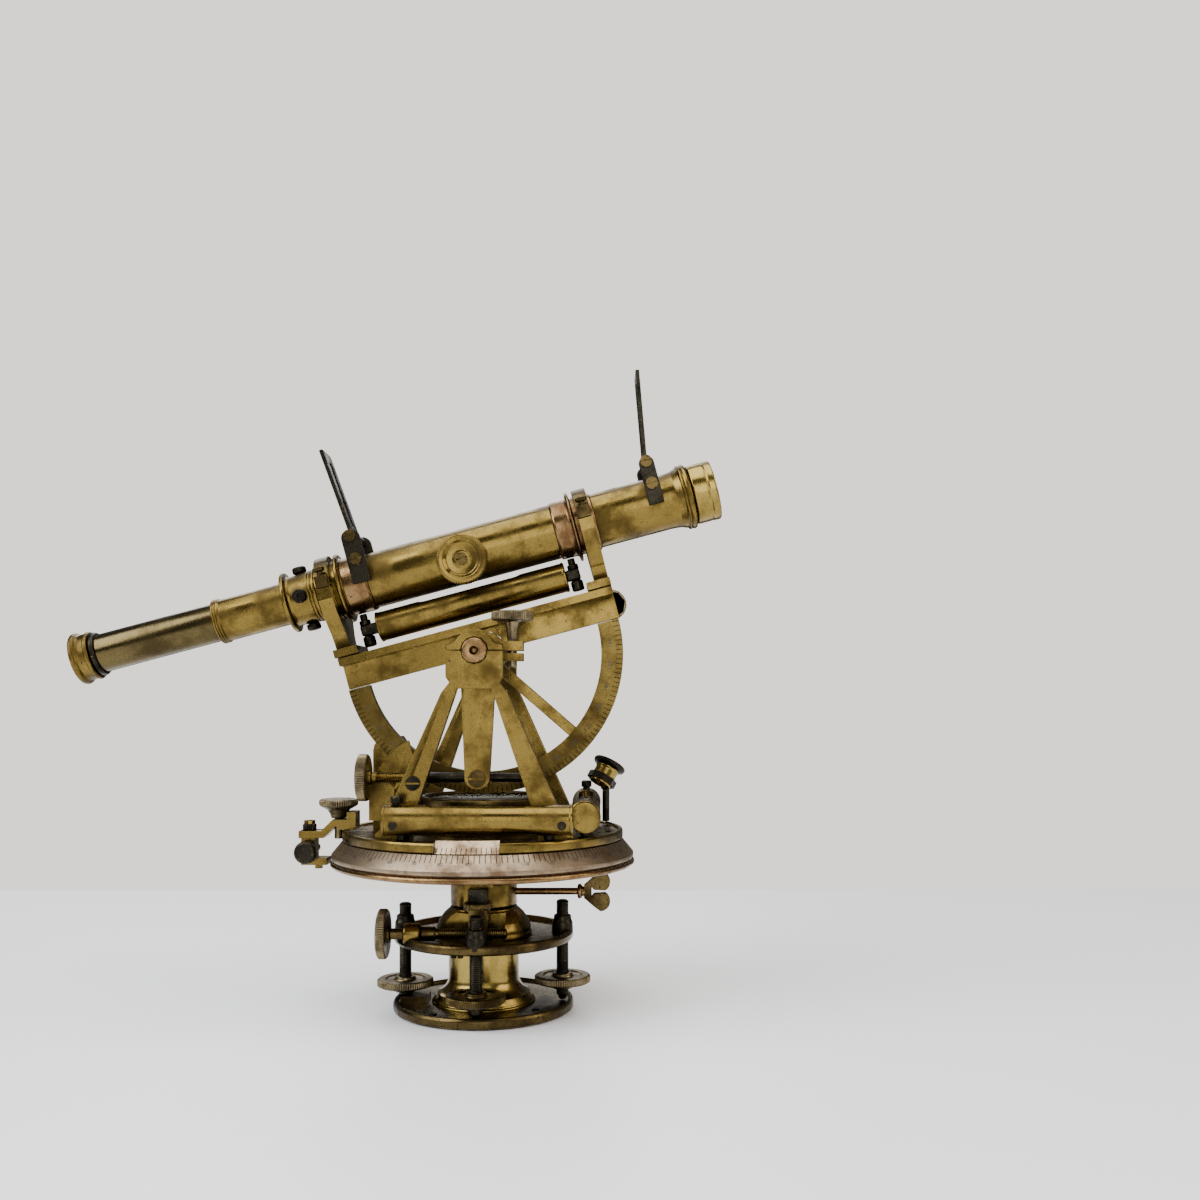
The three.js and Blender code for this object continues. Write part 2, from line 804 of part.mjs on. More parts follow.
function verticalClampArm() {
  const hub = alongY(rod(8.2, CLAMP_ARM_FRONT, CLAMP_ARM_REAR, 28)).translate(0, 0, TRUNNION_Z);
  const foot = arc(-0.4, 87.4, 4.7, 200, 340, 6);
  const strap = standing([...foot, [6.4, 126], [-6.4, 126]], CLAMP_ARM_FRONT + 0.6, CLAMP_ARM_REAR - 1);
  const lugs = block(6, 16, VERTICAL_CLAMP_Y - 3.4, VERTICAL_CLAMP_Y + 3.4, 128.4, 135.4);
  const split = block(3, 20, -30, -10, TRUNNION_Z - 0.45, TRUNNION_Z + 0.45);
  const lug = block(-3.9, 3.1, -18.6, -11, 83.6, 89.6);
  const screw = alongY(rod(3, -22.6, -21, 16)).translate(-0.4, 0, 86.5);
  const tangentHole = alongX(rod(2.3, -10, 10)).translate(0, VERTICAL_TANGENT_Y, VERTICAL_TANGENT_Z);
  const clampHole = rod(2, 120, 140, 14).translate(VERTICAL_CLAMP_X, VERTICAL_CLAMP_Y, 0);
  const whole = join(hub, strap, lugs, lug, screw);
  return cut(whole, trunnionBore(), split, tangentHole, clampHole);
}

function verticalClampScrew() {
  return turned(
    [
      [0, 126],
      [1.7, 126],
      [1.7, 136],
      [1.9, 137],
      [2.3, 141],
      [3.2, 142.9],
      [7, 142.9],
      [7.5, 143.4],
      [7.5, 145.7],
      [7, 146.2],
      [5, 146.2],
      [4.4, 145.8],
      [0, 145.8],
    ],
    24,
  ).translate(VERTICAL_CLAMP_X, VERTICAL_CLAMP_Y, 0);
}

function verticalTangentScrew() {
  const head = alongX(milledHead(8.5, 40.2, 44, 28)).rotateZ(Math.PI);
  const spindle = turned(
    [[0, -41], [2.7, -41], [2.7, -39], [1.95, -38.6], [1.95, 2], [1.7, 3], [1.7, 15.4], [0, 15.4]],
    14,
  );
  return join(head, alongX(spindle)).translate(0, VERTICAL_TANGENT_Y, VERTICAL_TANGENT_Z);
}

// ---------------------------------------------------------------------------
// Elevating part, drawn with the trunnion at the origin and the bar along X
// ---------------------------------------------------------------------------

function trunnionAxle() {
  const end = STANDARD_Y + STANDARD_THICKNESS / 2 + 0.8;
  const half = [[0, end - 2.5], [1.2, end - 2.5], [1.2, end], [TRUNNION_RADIUS - 0.4, end]];
  const profile = [...half, [TRUNNION_RADIUS, end - 0.4]];
  const mirrored = profile.map(([radius, height]) => [radius, -height]).reverse();
  return alongY(turned([...profile, ...mirrored].reverse(), 24));
}

function verticalArc() {
  const top = -0.15;
  const rim = standing([
    ...arc(0, 0, ARC_OUTER, 180, 360, 28),
    ...arc(0, 0, ARC_INNER, 360, 180, 28),
  ], -ARC_HALF_THICKNESS, ARC_HALF_THICKNESS);
  const hub = alongY(rod(8.5, -ARC_HALF_THICKNESS, ARC_HALF_THICKNESS, 28));
  const spoke = (angle) => {
    const thickness = ARC_HALF_THICKNESS * 0.7;
    return block(6, ARC_INNER + 2, -thickness, thickness, -2, 2).rotateY(angle * DEGREES);
  };
  const bore = alongY(rod(TRUNNION_RADIUS + GAP, -10, 10, 24));
  const above = block(9, 60, -5, 5, top, 5);
  const aboveLeft = block(-60, -9, -5, 5, top, 5);
  return cut(join(rim, hub, spoke(56), spoke(124)), bore, above, aboveLeft);
}

function stageBar() {
  const left = -51.7;
  const right = 52.3;
  const flange = block(left, right, -8, 8, BAR_TOP - 2.8, BAR_TOP);
  const web = block(left, right, -1.5, 1.5, 0.15, BAR_TOP - 2);
  const hubClearance = alongY(rod(8.8, -5, 5, 28));
  const screwHead = alongY(milledHead(5.8, 3, 6.6, 20)).translate(50.8, 0, 5.8);
  const screwStem = alongY(rod(2, 1, 3.6, 12)).translate(49.6, 0, 5.8);
  return join(flange, cut(web, hubClearance), screwHead, screwStem);
}

// One wye, seen along the telescope: a foot on the bar, a stem and the forked seat.
function wye(u, footFrom, footTo) {
  const foot = block(footFrom, footTo, -11, 11, BAR_TOP + GAP, 14.8);
  const half = WYE_THICKNESS / 2;
  const top = TUBE_HEIGHT;
  const cheek = WYE_SEAT_RADIUS + 4.2;
  const fork = crosswise(
    [
      [-6, 14],
      [6, 14],
      [8, 20],
      [cheek - 1.4, 28],
      [cheek, 33],
      [cheek, top],
      ...arc(0, TUBE_HEIGHT, WYE_SEAT_RADIUS, 0, -180, 14),
      [-cheek, top],
      [-cheek, 33],
      [-cheek + 1.4, 28],
      [-8, 20],
    ],
    u - half,
    u + half,
  );
  const pin = alongX(rod(0.8, u - half - 1.2, u + half + 1.2, 10)).translate(0, HINGE_Y, TUBE_HEIGHT + HINGE_W);
  const ear = (from) => {
    const outline = [[12.2, top - 4], [15.3, top - 4], ...arc(HINGE_Y, top + HINGE_W, 1.7, 0, 180, 6), [12.2, top]];
    return crosswise(outline, from, from + 1);
  };
  return join(foot, fork, pin, ear(u - half - 1.2), ear(u + half + 0.2), earFillet(u, half));
}

const HINGE_Y = 13.7; // hinge of each clip, behind the tube
const HINGE_W = 2.4; // above the telescope axis

// Joins the hinge ears to the rear arm of the fork.
function earFillet(u, half) {
  return block(u - half - 1.2, u + half + 1.2, 12.2, 15.3, TUBE_HEIGHT - 4, TUBE_HEIGHT - 1.4);
}

// ---------------------------------------------------------------------------
// Clips and telescope, drawn with the telescope axis along X through the origin
// ---------------------------------------------------------------------------

function clip(u) {
  const half = WYE_THICKNESS / 2 - 0.1;
  const inner = WYE_SEAT_RADIUS;
  const outer = 13.1;
  const strap = crosswise([...arc(0, 0, outer, 2, 176, 14), ...arc(0, 0, inner, 174, 3, 14)], u - half, u + half);
  const knuckle = alongX(rod(1.8, u - half, u + half, 14)).translate(0, HINGE_Y, HINGE_W);
  const lug = block(u - 2.2, u + 2.2, -15.6, -11.6, GAP, 4.6);
  const pin = turned([[0, 4], [1.1, 4], [1.1, 6], [2.2, 6.4], [2.2, 7.6], [0, 7.8]], 12).translate(u, -14, 0);
  const hole = alongX(rod(1.1, u - 6, u + 6, 10)).translate(0, HINGE_Y, HINGE_W);
  return cut(join(strap, knuckle, lug, pin), hole);
}

function mainTube() {
  const bore = 9.05;
  const body = turned(
    [
      [bore, -52.6],
      [TUBE_COLLAR_RADIUS, -52.6],
      [TUBE_COLLAR_RADIUS, -44.2],
      [13, -44.2],
      [13, -43],
      [TUBE_COLLAR_RADIUS, -42.8],
      [TUBE_COLLAR_RADIUS, -33.5],
      [TUBE_RADIUS, -33.3],
      [TUBE_RADIUS, 37.7],
      [TUBE_COLLAR_RADIUS, 37.9],
      [TUBE_COLLAR_RADIUS, 44],
      [13.15, 44],
      [13.15, 45.2],
      [TUBE_COLLAR_RADIUS, 45.2],
      [TUBE_COLLAR_RADIUS, 53],
      [TUBE_RADIUS, 53.2],
      [TUBE_RADIUS, 82],
      [10.6, 84.6],
      [11.7, 86.6],
      [12.1, 87.6],
      [12.1, 89],
      [11.4, 89.6],
      [bore, 89.6],
      [bore, -52.6],
    ],
    36,
  );
  const focusBoss = alongY(rod(4.4, -11.7, -9.2, 16)).translate(FOCUS_U, 0, FOCUS_W);
  const focusHole = alongY(rod(1.9, -13, -7, 12)).translate(FOCUS_U, 0, FOCUS_W);
  return cut(join(alongX(body), focusBoss, ...rearSightEars(), ...frontSightEars()), focusHole);
}

const FOCUS_U = 2.5;
const FOCUS_W = -3;
const REAR_SIGHT_U = -35;
const REAR_PIVOT_W = 16.3;
const FRONT_SIGHT_U = 76;
const FRONT_PIVOT_W = 14.6;

// A pair of upright ears astride the tube that hold a folding sight's pivot.
function sightEars(u, pivot, bottom, halfWidth) {
  const left = -halfWidth;
  const right = halfWidth;
  const points = [[u + left, bottom], [u + right, bottom], ...arc(u, pivot, halfWidth * 0.8, 10, 170, 6)];
  return [standing(points, -11.9, -10.2), standing(points, 10.2, 11.9)];
}

function rearSightEars() {
  const screw = (w) => alongY(rod(2.2, -13.2, -11.4, 12)).translate(REAR_SIGHT_U, 0, w);
  const seat = [block(-38.4, -31.6, -11.9, -9.8, -1.5, 3.5), block(-38.4, -31.6, 9.8, 11.9, -1.5, 3.5)];
  return [...sightEars(REAR_SIGHT_U, REAR_PIVOT_W, 2, 3.4), ...seat, screw(7.7)];
}

function frontSightEars() {
  const screw = alongY(rod(2.2, -13.2, -11.4, 12)).translate(FRONT_SIGHT_U, 0, 6.3);
  const seat = [block(73.4, 78.6, -11.9, -9.2, -1, 4), block(73.4, 78.6, 9.2, 11.9, -1, 4)];
  return [...sightEars(FRONT_SIGHT_U, FRONT_PIVOT_W, 2, 2.8), ...seat, screw];
}

// A folding leaf with a sighting slot, its cross bar lying between the two ears.
function sightLeaf(u, pivot, length, lean, slot) {
  const bar = alongY(rod(1.9, -9.8, 9.8, 14));
  const leaf = block(-0.7, 0.7, -7, 7, 0, length);
  const opening = block(-3, 3, -slot, slot, 5, length - 4);
  return cut(join(bar, leaf), opening).rotateY(lean * DEGREES).translate(u, 0, pivot);
}

function rearSight() {
  return sightLeaf(REAR_SIGHT_U, REAR_PIVOT_W, 34.4, -5, 2.2);
}

function frontSight() {
  return sightLeaf(FRONT_SIGHT_U, FRONT_PIVOT_W, 34.8, 10, 4.4);
}

function reticleHousing() {
  const bore = 7.45;
  const body = turned(
    [
      [bore, -92.6],
      [8.1, -92.6],
      [8.4, -92.2],
      [8.4, -90],
      [7.9, -89.6],
      [7.9, -65.4],
      [11.3, -65.2],
      [11.3, -63.7],
      [9.3, -63.5],
      [9.7, -54],
      [9.7, -52.9],
      [bore, -52.9],
      [bore, -92.6],
    ],
    28,
  );
  const capstan = [0, 90, 180].map((angle) => {
    const head = turned([[0, 8], [1.4, 8], [1.4, 9.6], [2.6, 9.9], [2.6, 11.8], [0, 12]], 12);
    return head.rotateX(angle * DEGREES).translate(-58.5, 0, 0);
  });
  const inside = alongX(rod(bore, -93, -52, 28));
  return cut(join(alongX(body), ...capstan), inside);
}

function reticle() {
  const frame = alongX(ring(4.2, 7.1, -59.3, -57.7, 24));
  const upright = block(-58.65, -58.35, -0.15, 0.15, -5, 5);
  const level = block(-58.65, -58.35, -5, 5, -0.15, 0.15);
  return join(frame, upright, level);
}

function eyepieceTube() {
  return alongX(
    turned(
      [
        [6.3, -139.2],
        [8.2, -139.2],
        [8.2, -137.6],
        [7.15, -137.4],
        [7.15, -76],
        [6.3, -76],
        [6.3, -139.2],
      ],
      28,
    ),
  );
}

function eyepieceCap() {
  return alongX(
    turned(
      [
        [2.4, -146.4],
        [9.2, -146.4],
        [9.75, -145.8],
        [9.75, -144.4],
        [9, -143.6],
        [8.6, -142.6],
        [8.6, -139.5],
        [2.4, -139.5],
        [2.4, -146.4],
      ],
      28,
    ),
  );
}

function sunshade() {
  return alongX(
    turned(
      [
        [7.9, 42],
        [8.7, 42],
        [8.7, 90],
        [11, 90.2],
        [11, 95.6],
        [10.7, 95.9],
        [11.1, 96.3],
        [11.1, 98.4],
        [10.6, 98.9],
        [10.1, 98.9],
        [10.1, 92],
        [7.9, 92],
        [7.9, 42],
      ],
      32,
    ),
  );
}

function objectiveLens() {
  return alongX(turned([[0, 86.6], [5, 87], [7.6, 88], [7.6, 89.6], [5, 90.6], [0, 91]], 24));
}

function focusKnob() {
  const profile = [
    [0, -18.2],
    [1.8, -18.2],
    [2.2, -17.2],
    [6.2, -16.8],
    [7, -17.6],
    [8.7, -17.6],
    [9.2, -17],
    [9.2, -13.4],
    [8.7, -12.8],
    [4, -12.2],
    [1.6, -12.2],
    [1.6, -9.4],
    [0, -9.4],
  ];
  return alongY(turned(profile, 30)).translate(FOCUS_U, 0, FOCUS_W);
}

const LEVEL_W = -17.3;
const LEVEL_POST_LEFT = -39.8;
const LEVEL_POST_RIGHT = 40.4;

function telescopeLevel() {
  const tube = levelCase(5.65, -35.4, 37.3, -19, 21).translate(0, 0, LEVEL_W);
  const post = (u) => {
    const profile = [[0, -23.5], [2.3, -23.5], [2.3, -19.6], [1.4, -19.4], [1.4, -11.2], [0, -11.2]];
    return turned(profile, 12).translate(u, 0, 0);
  };
  const lug = (from, to) => block(from, to, -2.4, 2.4, LEVEL_W - 2, LEVEL_W + 2);
  return join(tube, post(LEVEL_POST_LEFT), post(LEVEL_POST_RIGHT), lug(-41.8, -34.8), lug(36.8, 42.4));
}

function telescopeVial() {
  return levelVial(4.3, -32.6, 34.6).translate(0, 0, LEVEL_W);
}

// ---------------------------------------------------------------------------
// The whole instrument
// ---------------------------------------------------------------------------

function base() {
  const screws = SCREW_STATIONS.map((station) => {
    return node(`levelling_screw_${station.side}`, levellingScrew(station), darkBronze);
  });
  const knobs = SCREW_STATIONS.map((station) => {
    return node(`levelling_knob_${station.side}`, levellingKnob(station), knurledBronze);
  });
  return assembly(
    node("foot_plate", footPlate(), agedBrass),
    node("ball_cup", ballCup(), paleBrass),
    node("levelling_ball", levellingBall(), agedBrass),
    node("upper_plate", upperPlate(), brass),
    node("axis_sleeve", axisSleeve(), brass),
    ...screws,
    ...knobs,
    node("lower_tangent_screw", lowerTangentScrew(), knurledBronze),
    node("clamp_collar", clampCollar(), brass),
    node("lower_clamp_screw", lowerClampScrew(), agedBrass),
    node("limb_plate", limbPlate(), silvered),
    node("outer_axis", outerAxis(), brass),
  );
}

function alidade() {
  return assembly(
    node("vernier_plate", vernierPlate(), brass),
    node("inner_axis", innerAxis(), steel),
    node("front_vernier", frontVernier(), silvered),
    node("front_standard", frontStandard(), brass),
    node("rear_standard", standard(1), brass),
    node("front_bearing_cap", bearingCap(-1), brass),
    node("rear_bearing_cap", bearingCap(1), brass),
    node("front_level", frontLevel(), brass),
    node("front_vial", frontVial(), glass),
    node("side_level", sideLevel(), brass),
    node("side_vial", sideVial(), glass),
    node("compass_box", compassBox(), agedBrass),
    node("compass_glass", compassGlass(), glass),
    node("compass_needle", compassNeedle(), steel),
    node("upper_clamp_lug", upperClampLug(), brass),
    node("upper_clamp_screw", upperClampScrew(), knurledBronze),
    node("upper_tangent_screw", upperTangentScrew(), darkBronze),
    node("vernier_bracket", vernierBracket(), agedBrass),
    node("microscope_arm", microscopeArm(), darkBronze),
    node("microscope_barrel", microscopeBarrel(), brass),
    node("vertical_clamp_arm", verticalClampArm(), agedBrass),
    node("vertical_clamp_screw", verticalClampScrew(), knurledBronze),
    node("vertical_tangent_screw", verticalTangentScrew(), knurledBronze),
  );
}

function telescope() {
  const group = assembly(
    node("left_clip", clip(LEFT_WYE_U), agedBrass),
    node("right_clip", clip(RIGHT_WYE_U), agedBrass),
    node("main_tube", mainTube(), brass),
    node("reticle_housing", reticleHousing(), brass),
    node("reticle", reticle(), darkBronze),
    node("telescope_level", telescopeLevel(), brass),
    node("telescope_vial", telescopeVial(), glass),
    node("focus_knob", focusKnob(), brass),
    node("sunshade", sunshade(), paleBrass),
    node("objective_lens", objectiveLens(), glass),
    node("eyepiece_tube", eyepieceTube(), agedBrass),
    node("eyepiece_cap", eyepieceCap(), brass),
    node("rear_sight", rearSight(), darkBronze),
    node("front_sight", frontSight(), darkBronze),
  );
  group.position.set(0, 0, TUBE_HEIGHT);
  return group;
}

function elevatingPart() {
  const group = assembly(
    node("trunnion_axle", trunnionAxle(), copperyBrass),
    node("vertical_arc", verticalArc(), brass),
    node("stage_bar", stageBar(), brass),
    node("left_wye", wye(LEFT_WYE_U, -52, -43.2), brass),
    node("right_wye", wye(RIGHT_WYE_U, 43.6, 52.3), brass),
    telescope(),
  );
  group.position.set(0, 0, TRUNNION_Z);
  group.rotation.y = -REST_ELEVATION;
  return group;
}

export default assembly(base(), alidade(), elevatingPart());
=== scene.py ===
"""Antique brass Y-theodolite: the visual model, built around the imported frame.

Sizes are millimetres in the maker's own frames and become metres when a mesh is made.
Each sub-assembly is a class whose fields are its sizes and whose build method makes
and dresses its pieces.
"""

import json
import logging
from dataclasses import dataclass, field
from enum import Enum

import bmesh
import bpy
import numpy as np
from mathutils import Matrix


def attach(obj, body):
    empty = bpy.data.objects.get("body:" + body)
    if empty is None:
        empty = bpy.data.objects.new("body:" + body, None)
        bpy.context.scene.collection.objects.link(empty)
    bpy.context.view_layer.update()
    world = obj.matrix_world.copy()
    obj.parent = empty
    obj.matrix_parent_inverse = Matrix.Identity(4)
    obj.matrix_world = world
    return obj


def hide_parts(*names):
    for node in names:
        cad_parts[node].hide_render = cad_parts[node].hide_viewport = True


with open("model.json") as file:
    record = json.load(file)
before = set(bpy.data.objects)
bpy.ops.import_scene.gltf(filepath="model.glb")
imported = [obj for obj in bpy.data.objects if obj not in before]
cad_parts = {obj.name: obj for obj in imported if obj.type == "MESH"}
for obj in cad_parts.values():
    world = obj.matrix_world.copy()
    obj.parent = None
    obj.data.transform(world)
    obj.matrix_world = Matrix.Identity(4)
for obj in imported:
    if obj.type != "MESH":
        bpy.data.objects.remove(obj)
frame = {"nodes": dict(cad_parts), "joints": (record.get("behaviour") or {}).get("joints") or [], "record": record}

LOG = logging.getLogger("theodolite")
MM = 0.001
FULL_TURN = 2 * np.pi
JOINTS = {joint["name"]: joint for joint in frame["joints"]}
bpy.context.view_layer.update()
SHARP_DEG = 35  # edges that turn by more than this stay sharp


# ---------------------------------------------------------------------------
# Places: the base's own frame, the tilted stage bar's and the telescope's
# ---------------------------------------------------------------------------


@dataclass(frozen=True)
class Place:
    """A right-handed frame: where its origin lies, in mm, and its three axes as columns."""

    origin: tuple[float, float, float] = (0.0, 0.0, 0.0)
    axes: tuple[tuple[float, ...], ...] = ((1.0, 0.0, 0.0), (0.0, 1.0, 0.0), (0.0, 0.0, 1.0))

    def world(self, points: np.ndarray) -> np.ndarray:
        """Takes points in this frame to the object's frame: origin plus axes times point."""
        return np.asarray(self.origin) + points @ np.asarray(self.axes).T

    def shifted(self, x: float = 0.0, y: float = 0.0, z: float = 0.0) -> "Place":
        """Gives the same axes with the origin moved along them."""
        return Place(tuple(self.world(np.array([x, y, z]))), self.axes)

    def along(self, axis: "Axis") -> "Place":
        """Gives a frame whose Z runs along one of this frame's axes."""
        return Place(self.origin, tuple(map(tuple, np.asarray(self.axes) @ np.asarray(axis.value))))


class Axis(Enum):
    """The direction that a turned piece's own Z takes, as a rotation matrix."""

    X = ((0, 0, 1), (0, 1, 0), (-1, 0, 0))
    Y = ((1, 0, 0), (0, 0, 1), (0, -1, 0))
    Z = ((1, 0, 0), (0, 1, 0), (0, 0, 1))


def joint_place(joint: str) -> tuple[np.ndarray, np.ndarray]:
    """Gives a hinge's point in mm and its unit axis."""
    return np.array(JOINTS[joint]["pos_m"]) / MM, np.array(JOINTS[joint]["axis"], float)


TRUNNION, _ = joint_place("elevation")
SIGHT_LINE, BAR_AXIS = joint_place("telescope_roll")
BASE = Place()
TILTED = ((BAR_AXIS[0], 0, -BAR_AXIS[2]), (0, 1, 0), (BAR_AXIS[2], 0, BAR_AXIS[0]))
STAGE = Place((0.0, 0.0, float(TRUNNION[2])), TILTED)
TELESCOPE = Place(tuple(SIGHT_LINE), TILTED)


# ---------------------------------------------------------------------------
# Surfaces
# ---------------------------------------------------------------------------


@dataclass
class Surface:
    """Points in mm and the faces over them."""

    points: np.ndarray
    faces: list

    def at(self, place: Place) -> "Surface":
        """Gives the same surface carried to a place in the object's frame."""
        return Surface(place.world(self.points), self.faces)


def together(surfaces: list[Surface]) -> Surface:
    """Gathers surfaces into one, numbering each one's faces after the last one's points.

    Args:
        surfaces: The surfaces to gather.

    Returns:
        One surface with all of their faces.
    """
    faces, count = [], 0
    for surface in surfaces:
        faces += [tuple(corner + count for corner in face) for face in surface.faces]
        count += len(surface.points)
    return Surface(np.vstack([surface.points for surface in surfaces]), faces)


def grid_faces(rows: int, columns: int, wrap_rows: bool, wrap_columns: bool) -> list:
    """Gives the quads between neighbouring points of a grid.

    Args:
        rows: Points down the grid.
        columns: Points across it.
        wrap_rows: Whether the last row joins the first.
        wrap_columns: Whether the last column joins the first.

    Returns:
        One tuple of four point numbers for each quad.
    """
    i = np.arange(rows if wrap_rows else rows - 1)[:, None]
    j = np.arange(columns if wrap_columns else columns - 1)[None, :]
    below, beside = (i + 1) % rows, (j + 1) % columns
    corners = [i * columns + j, below * columns + j, below * columns + beside, i * columns + beside]
    return np.stack([np.broadcast_to(c, (i.size, j.size)) for c in corners], -1).reshape(-1, 4).tolist()


def softened(profile: list, radius: float) -> np.ndarray:
    """Rounds each inner corner of a profile with a quadratic curve.

    Each corner C becomes (1-t)^2 A + 2t(1-t) C + t^2 B, where A and B lie the radius
    away from it along its two sides, or under half a side where that is shorter.

    Args:
        profile: The corners, as rows of two numbers.
        radius: How far from a corner its curve starts, in mm.

    Returns:
        The profile with its inner corners rounded.
    """
    points = np.array(profile, float)
    before, corner, after = points[:-2], points[1:-1], points[2:]

    def reach(other: np.ndarray) -> np.ndarray:
        """Goes from each corner towards its neighbour by the radius, or by 0.45 of the way if that is less."""
        span = np.linalg.norm(other - corner, axis=1, keepdims=True)
        return corner + (other - corner) * np.minimum(radius, span * 0.45) / np.maximum(span, 1e-6)

    t = np.linspace(0, 1, 4)[None, :, None]
    a, b, c = reach(before)[:, None], reach(after)[:, None], corner[:, None]
    bends = (1 - t) ** 2 * a + 2 * t * (1 - t) * c + t**2 * b
    return np.vstack([points[:1], bends.reshape(-1, 2), points[-1:]])


@dataclass(frozen=True)
class Knurl:
    """Straight knurling: ridges round a rim, and how deep they are in mm."""

    pitch: float = 0.85
    depth: float = 0.28


@dataclass(frozen=True)
class Thread:
    """A screw thread between two heights: its pitch and depth in mm."""

    start: float
    stop: float
    pitch: float = 0.8
    depth: float = 0.22


def turned(
    profile: list, soft: float = 0.25, steps: int = 96, knurl: Knurl | None = None, thread: Thread | None = None
) -> Surface:
    """Spins a profile of [radius, height] points about Z.

    The grid holds x = r cos a and y = r sin a at the profile's heights. A knurl takes a
    cosine of the angle off the points at the rim, and a thread takes a cosine of height
    over pitch plus the angle off those between its two heights.

    Args:
        profile: The [radius, height] corners, in mm.
        soft: The radius of the corners.
        steps: How many points go round.
        knurl: The milling of the rim, if it has any.
        thread: The thread of the shaft, if it has any.

    Returns:
        The surface, closed where the profile meets the axis.
    """
    closed = np.allclose(profile[0], profile[-1])
    line = softened(profile, soft)
    if closed:
        line = line[:-1]
    if thread:
        count = int(abs(thread.stop - thread.start) / thread.pitch * 8)
        at = int(np.argmax((line[:-1, 1] - thread.start) * (line[1:, 1] - thread.start) <= 0)) + 1
        heights = np.linspace(thread.start, thread.stop, count)
        extra = np.stack([np.full(count, line[at, 0]), heights], 1)
        line = np.vstack([line[:at], extra, line[at:]])
    rim = line[:, 0].max()
    if knurl:
        steps = int(FULL_TURN * rim / knurl.pitch) * 6
    angle = np.arange(steps) * FULL_TURN / steps
    radius = np.repeat(line[:, :1], steps, 1)
    height = np.repeat(line[:, 1:], steps, 1)
    if knurl:
        ridges = 0.5 - 0.5 * np.cos(angle * steps / 6)
        radius -= (radius > rim - 0.35) * knurl.depth * ridges[None, :]
    if thread:
        low, high = sorted((thread.start, thread.stop))
        cut = (height > low) & (height < high) & (np.abs(radius - radius[at]) < 1e-6)
        radius -= cut * thread.depth * (0.5 - 0.5 * np.cos(FULL_TURN * height / thread.pitch + angle))
    points = np.stack([radius * np.cos(angle), radius * np.sin(angle), height], -1).reshape(-1, 3)
    return Surface(points, grid_faces(len(line), steps, closed, True))


def prism(outline: np.ndarray | list, low: float, high: float) -> Surface:
    """Raises a closed outline of x, y points from one height to another, with flat ends.

    Args:
        outline: The corners, as rows of x and y in mm.
        low: The lower height.
        high: The upper height.

    Returns:
        The closed surface.
    """
    flat = np.asarray(outline, float)
    count = len(flat)
    rings = [np.column_stack([flat, np.full(count, z)]) for z in (low, high)]
    sides = [(i, (i + 1) % count, (i + 1) % count + count, i + count) for i in range(count)]
    ends = [tuple(range(count))[::-1], tuple(range(count, 2 * count))]
    return Surface(np.vstack(rings), sides + ends)


def brick(low: tuple, high: tuple) -> Surface:
    """Makes a rectangular block between two corners."""
    (x0, y0, z0), (x1, y1, z1) = low, high
    return prism([(x0, y0), (x1, y0), (x1, y1), (x0, y1)], z0, z1)


def slotted_head(radius: float, height: float, slot: float = 0.5) -> Surface:
    """A screw head along Z: a low disc under two half discs that leave a slot between them.

    Args:
        radius: The radius of the head in mm.
        height: Its height.
        slot: Half of the width of its slot.

    Returns:
        The head, standing on Z = 0.
    """
    base = turned([[0, 0], [radius, 0], [radius, height * 0.55], [0, height * 0.55]], 0.15, 32)
    start = np.arcsin(slot / radius)
    sweep = np.linspace(start, np.pi - start, 14)
    half = np.column_stack([radius * np.cos(sweep), radius * np.sin(sweep)])
    halves = [prism(half, height * 0.5, height), prism(-half, height * 0.5, height)]
    return together([base, *halves])


def front_head(radius: float, height: float, slot: float, place: Place) -> Surface:
    """A slotted head that stands out towards the front: the same head with its Z turned about.

    Args:
        radius: The radius of the head in mm.
        height: Its height.
        slot: Half of the width of its slot.
        place: Where its foot is.

    Returns:
        The head in its place.
    """
    head = slotted_head(radius, height, slot)
    head.points[:, 2] *= -1
    return head.at(place.along(Axis.Y))


def slab(outline: list | np.ndarray, low: float, high: float) -> Surface:
    """A prism whose outline lies in X and Z and whose thickness runs along Y.

    Args:
        outline: The corners, as rows of x and z in mm.
        low: The lower Y.
        high: The upper Y.

    Returns:
        The closed surface.
    """
    flat = prism(outline, low, high)
    flat.points = flat.points[:, [0, 2, 1]]
    return flat


# ---------------------------------------------------------------------------
# Materials
# ---------------------------------------------------------------------------


def linear(code: str) -> tuple[float, float, float, float]:
    """Turns an sRGB hex colour into the linear one that a shader takes.

    Args:
        code: The colour as #RRGGBB.

    Returns:
        Red, green and blue, and an alpha of 1.
    """
    srgb = np.array([int(code[i : i + 2], 16) / 255 for i in (1, 3, 5)])
    value = np.where(srgb <= 0.04045, srgb / 12.92, ((srgb + 0.055) / 1.055) ** 2.4)
    return (*value.tolist(), 1.0)


def add(tree: bpy.types.NodeTree, kind: str, links: dict | None = None, **settings: object) -> bpy.types.Node:
    """Adds a node with its settings and its links.

    Args:
        tree: The material's node tree.
        kind: The node's type, such as ShaderNodeTexNoise.
        links: Input name or number to the output socket or the value that feeds it.
        **settings: Properties of the node itself.

    Returns:
        The new node.
    """
    node = tree.nodes.new(kind)
    for name, value in settings.items():
        setattr(node, name, value)
    for name, value in (links or {}).items():
        if isinstance(value, bpy.types.NodeSocket):
            tree.links.new(value, node.inputs[name])
        else:
            node.inputs[name].default_value = value
    return node


def ramp(tree: bpy.types.NodeTree, source: bpy.types.NodeSocket, low: float, high: float) -> bpy.types.NodeSocket:
    """Stretches a value between two levels to a smooth 0 to 1."""
    links = {"Value": source, "From Min": low, "From Max": high}
    return add(tree, "ShaderNodeMapRange", links, interpolation_type="SMOOTHSTEP").outputs["Result"]


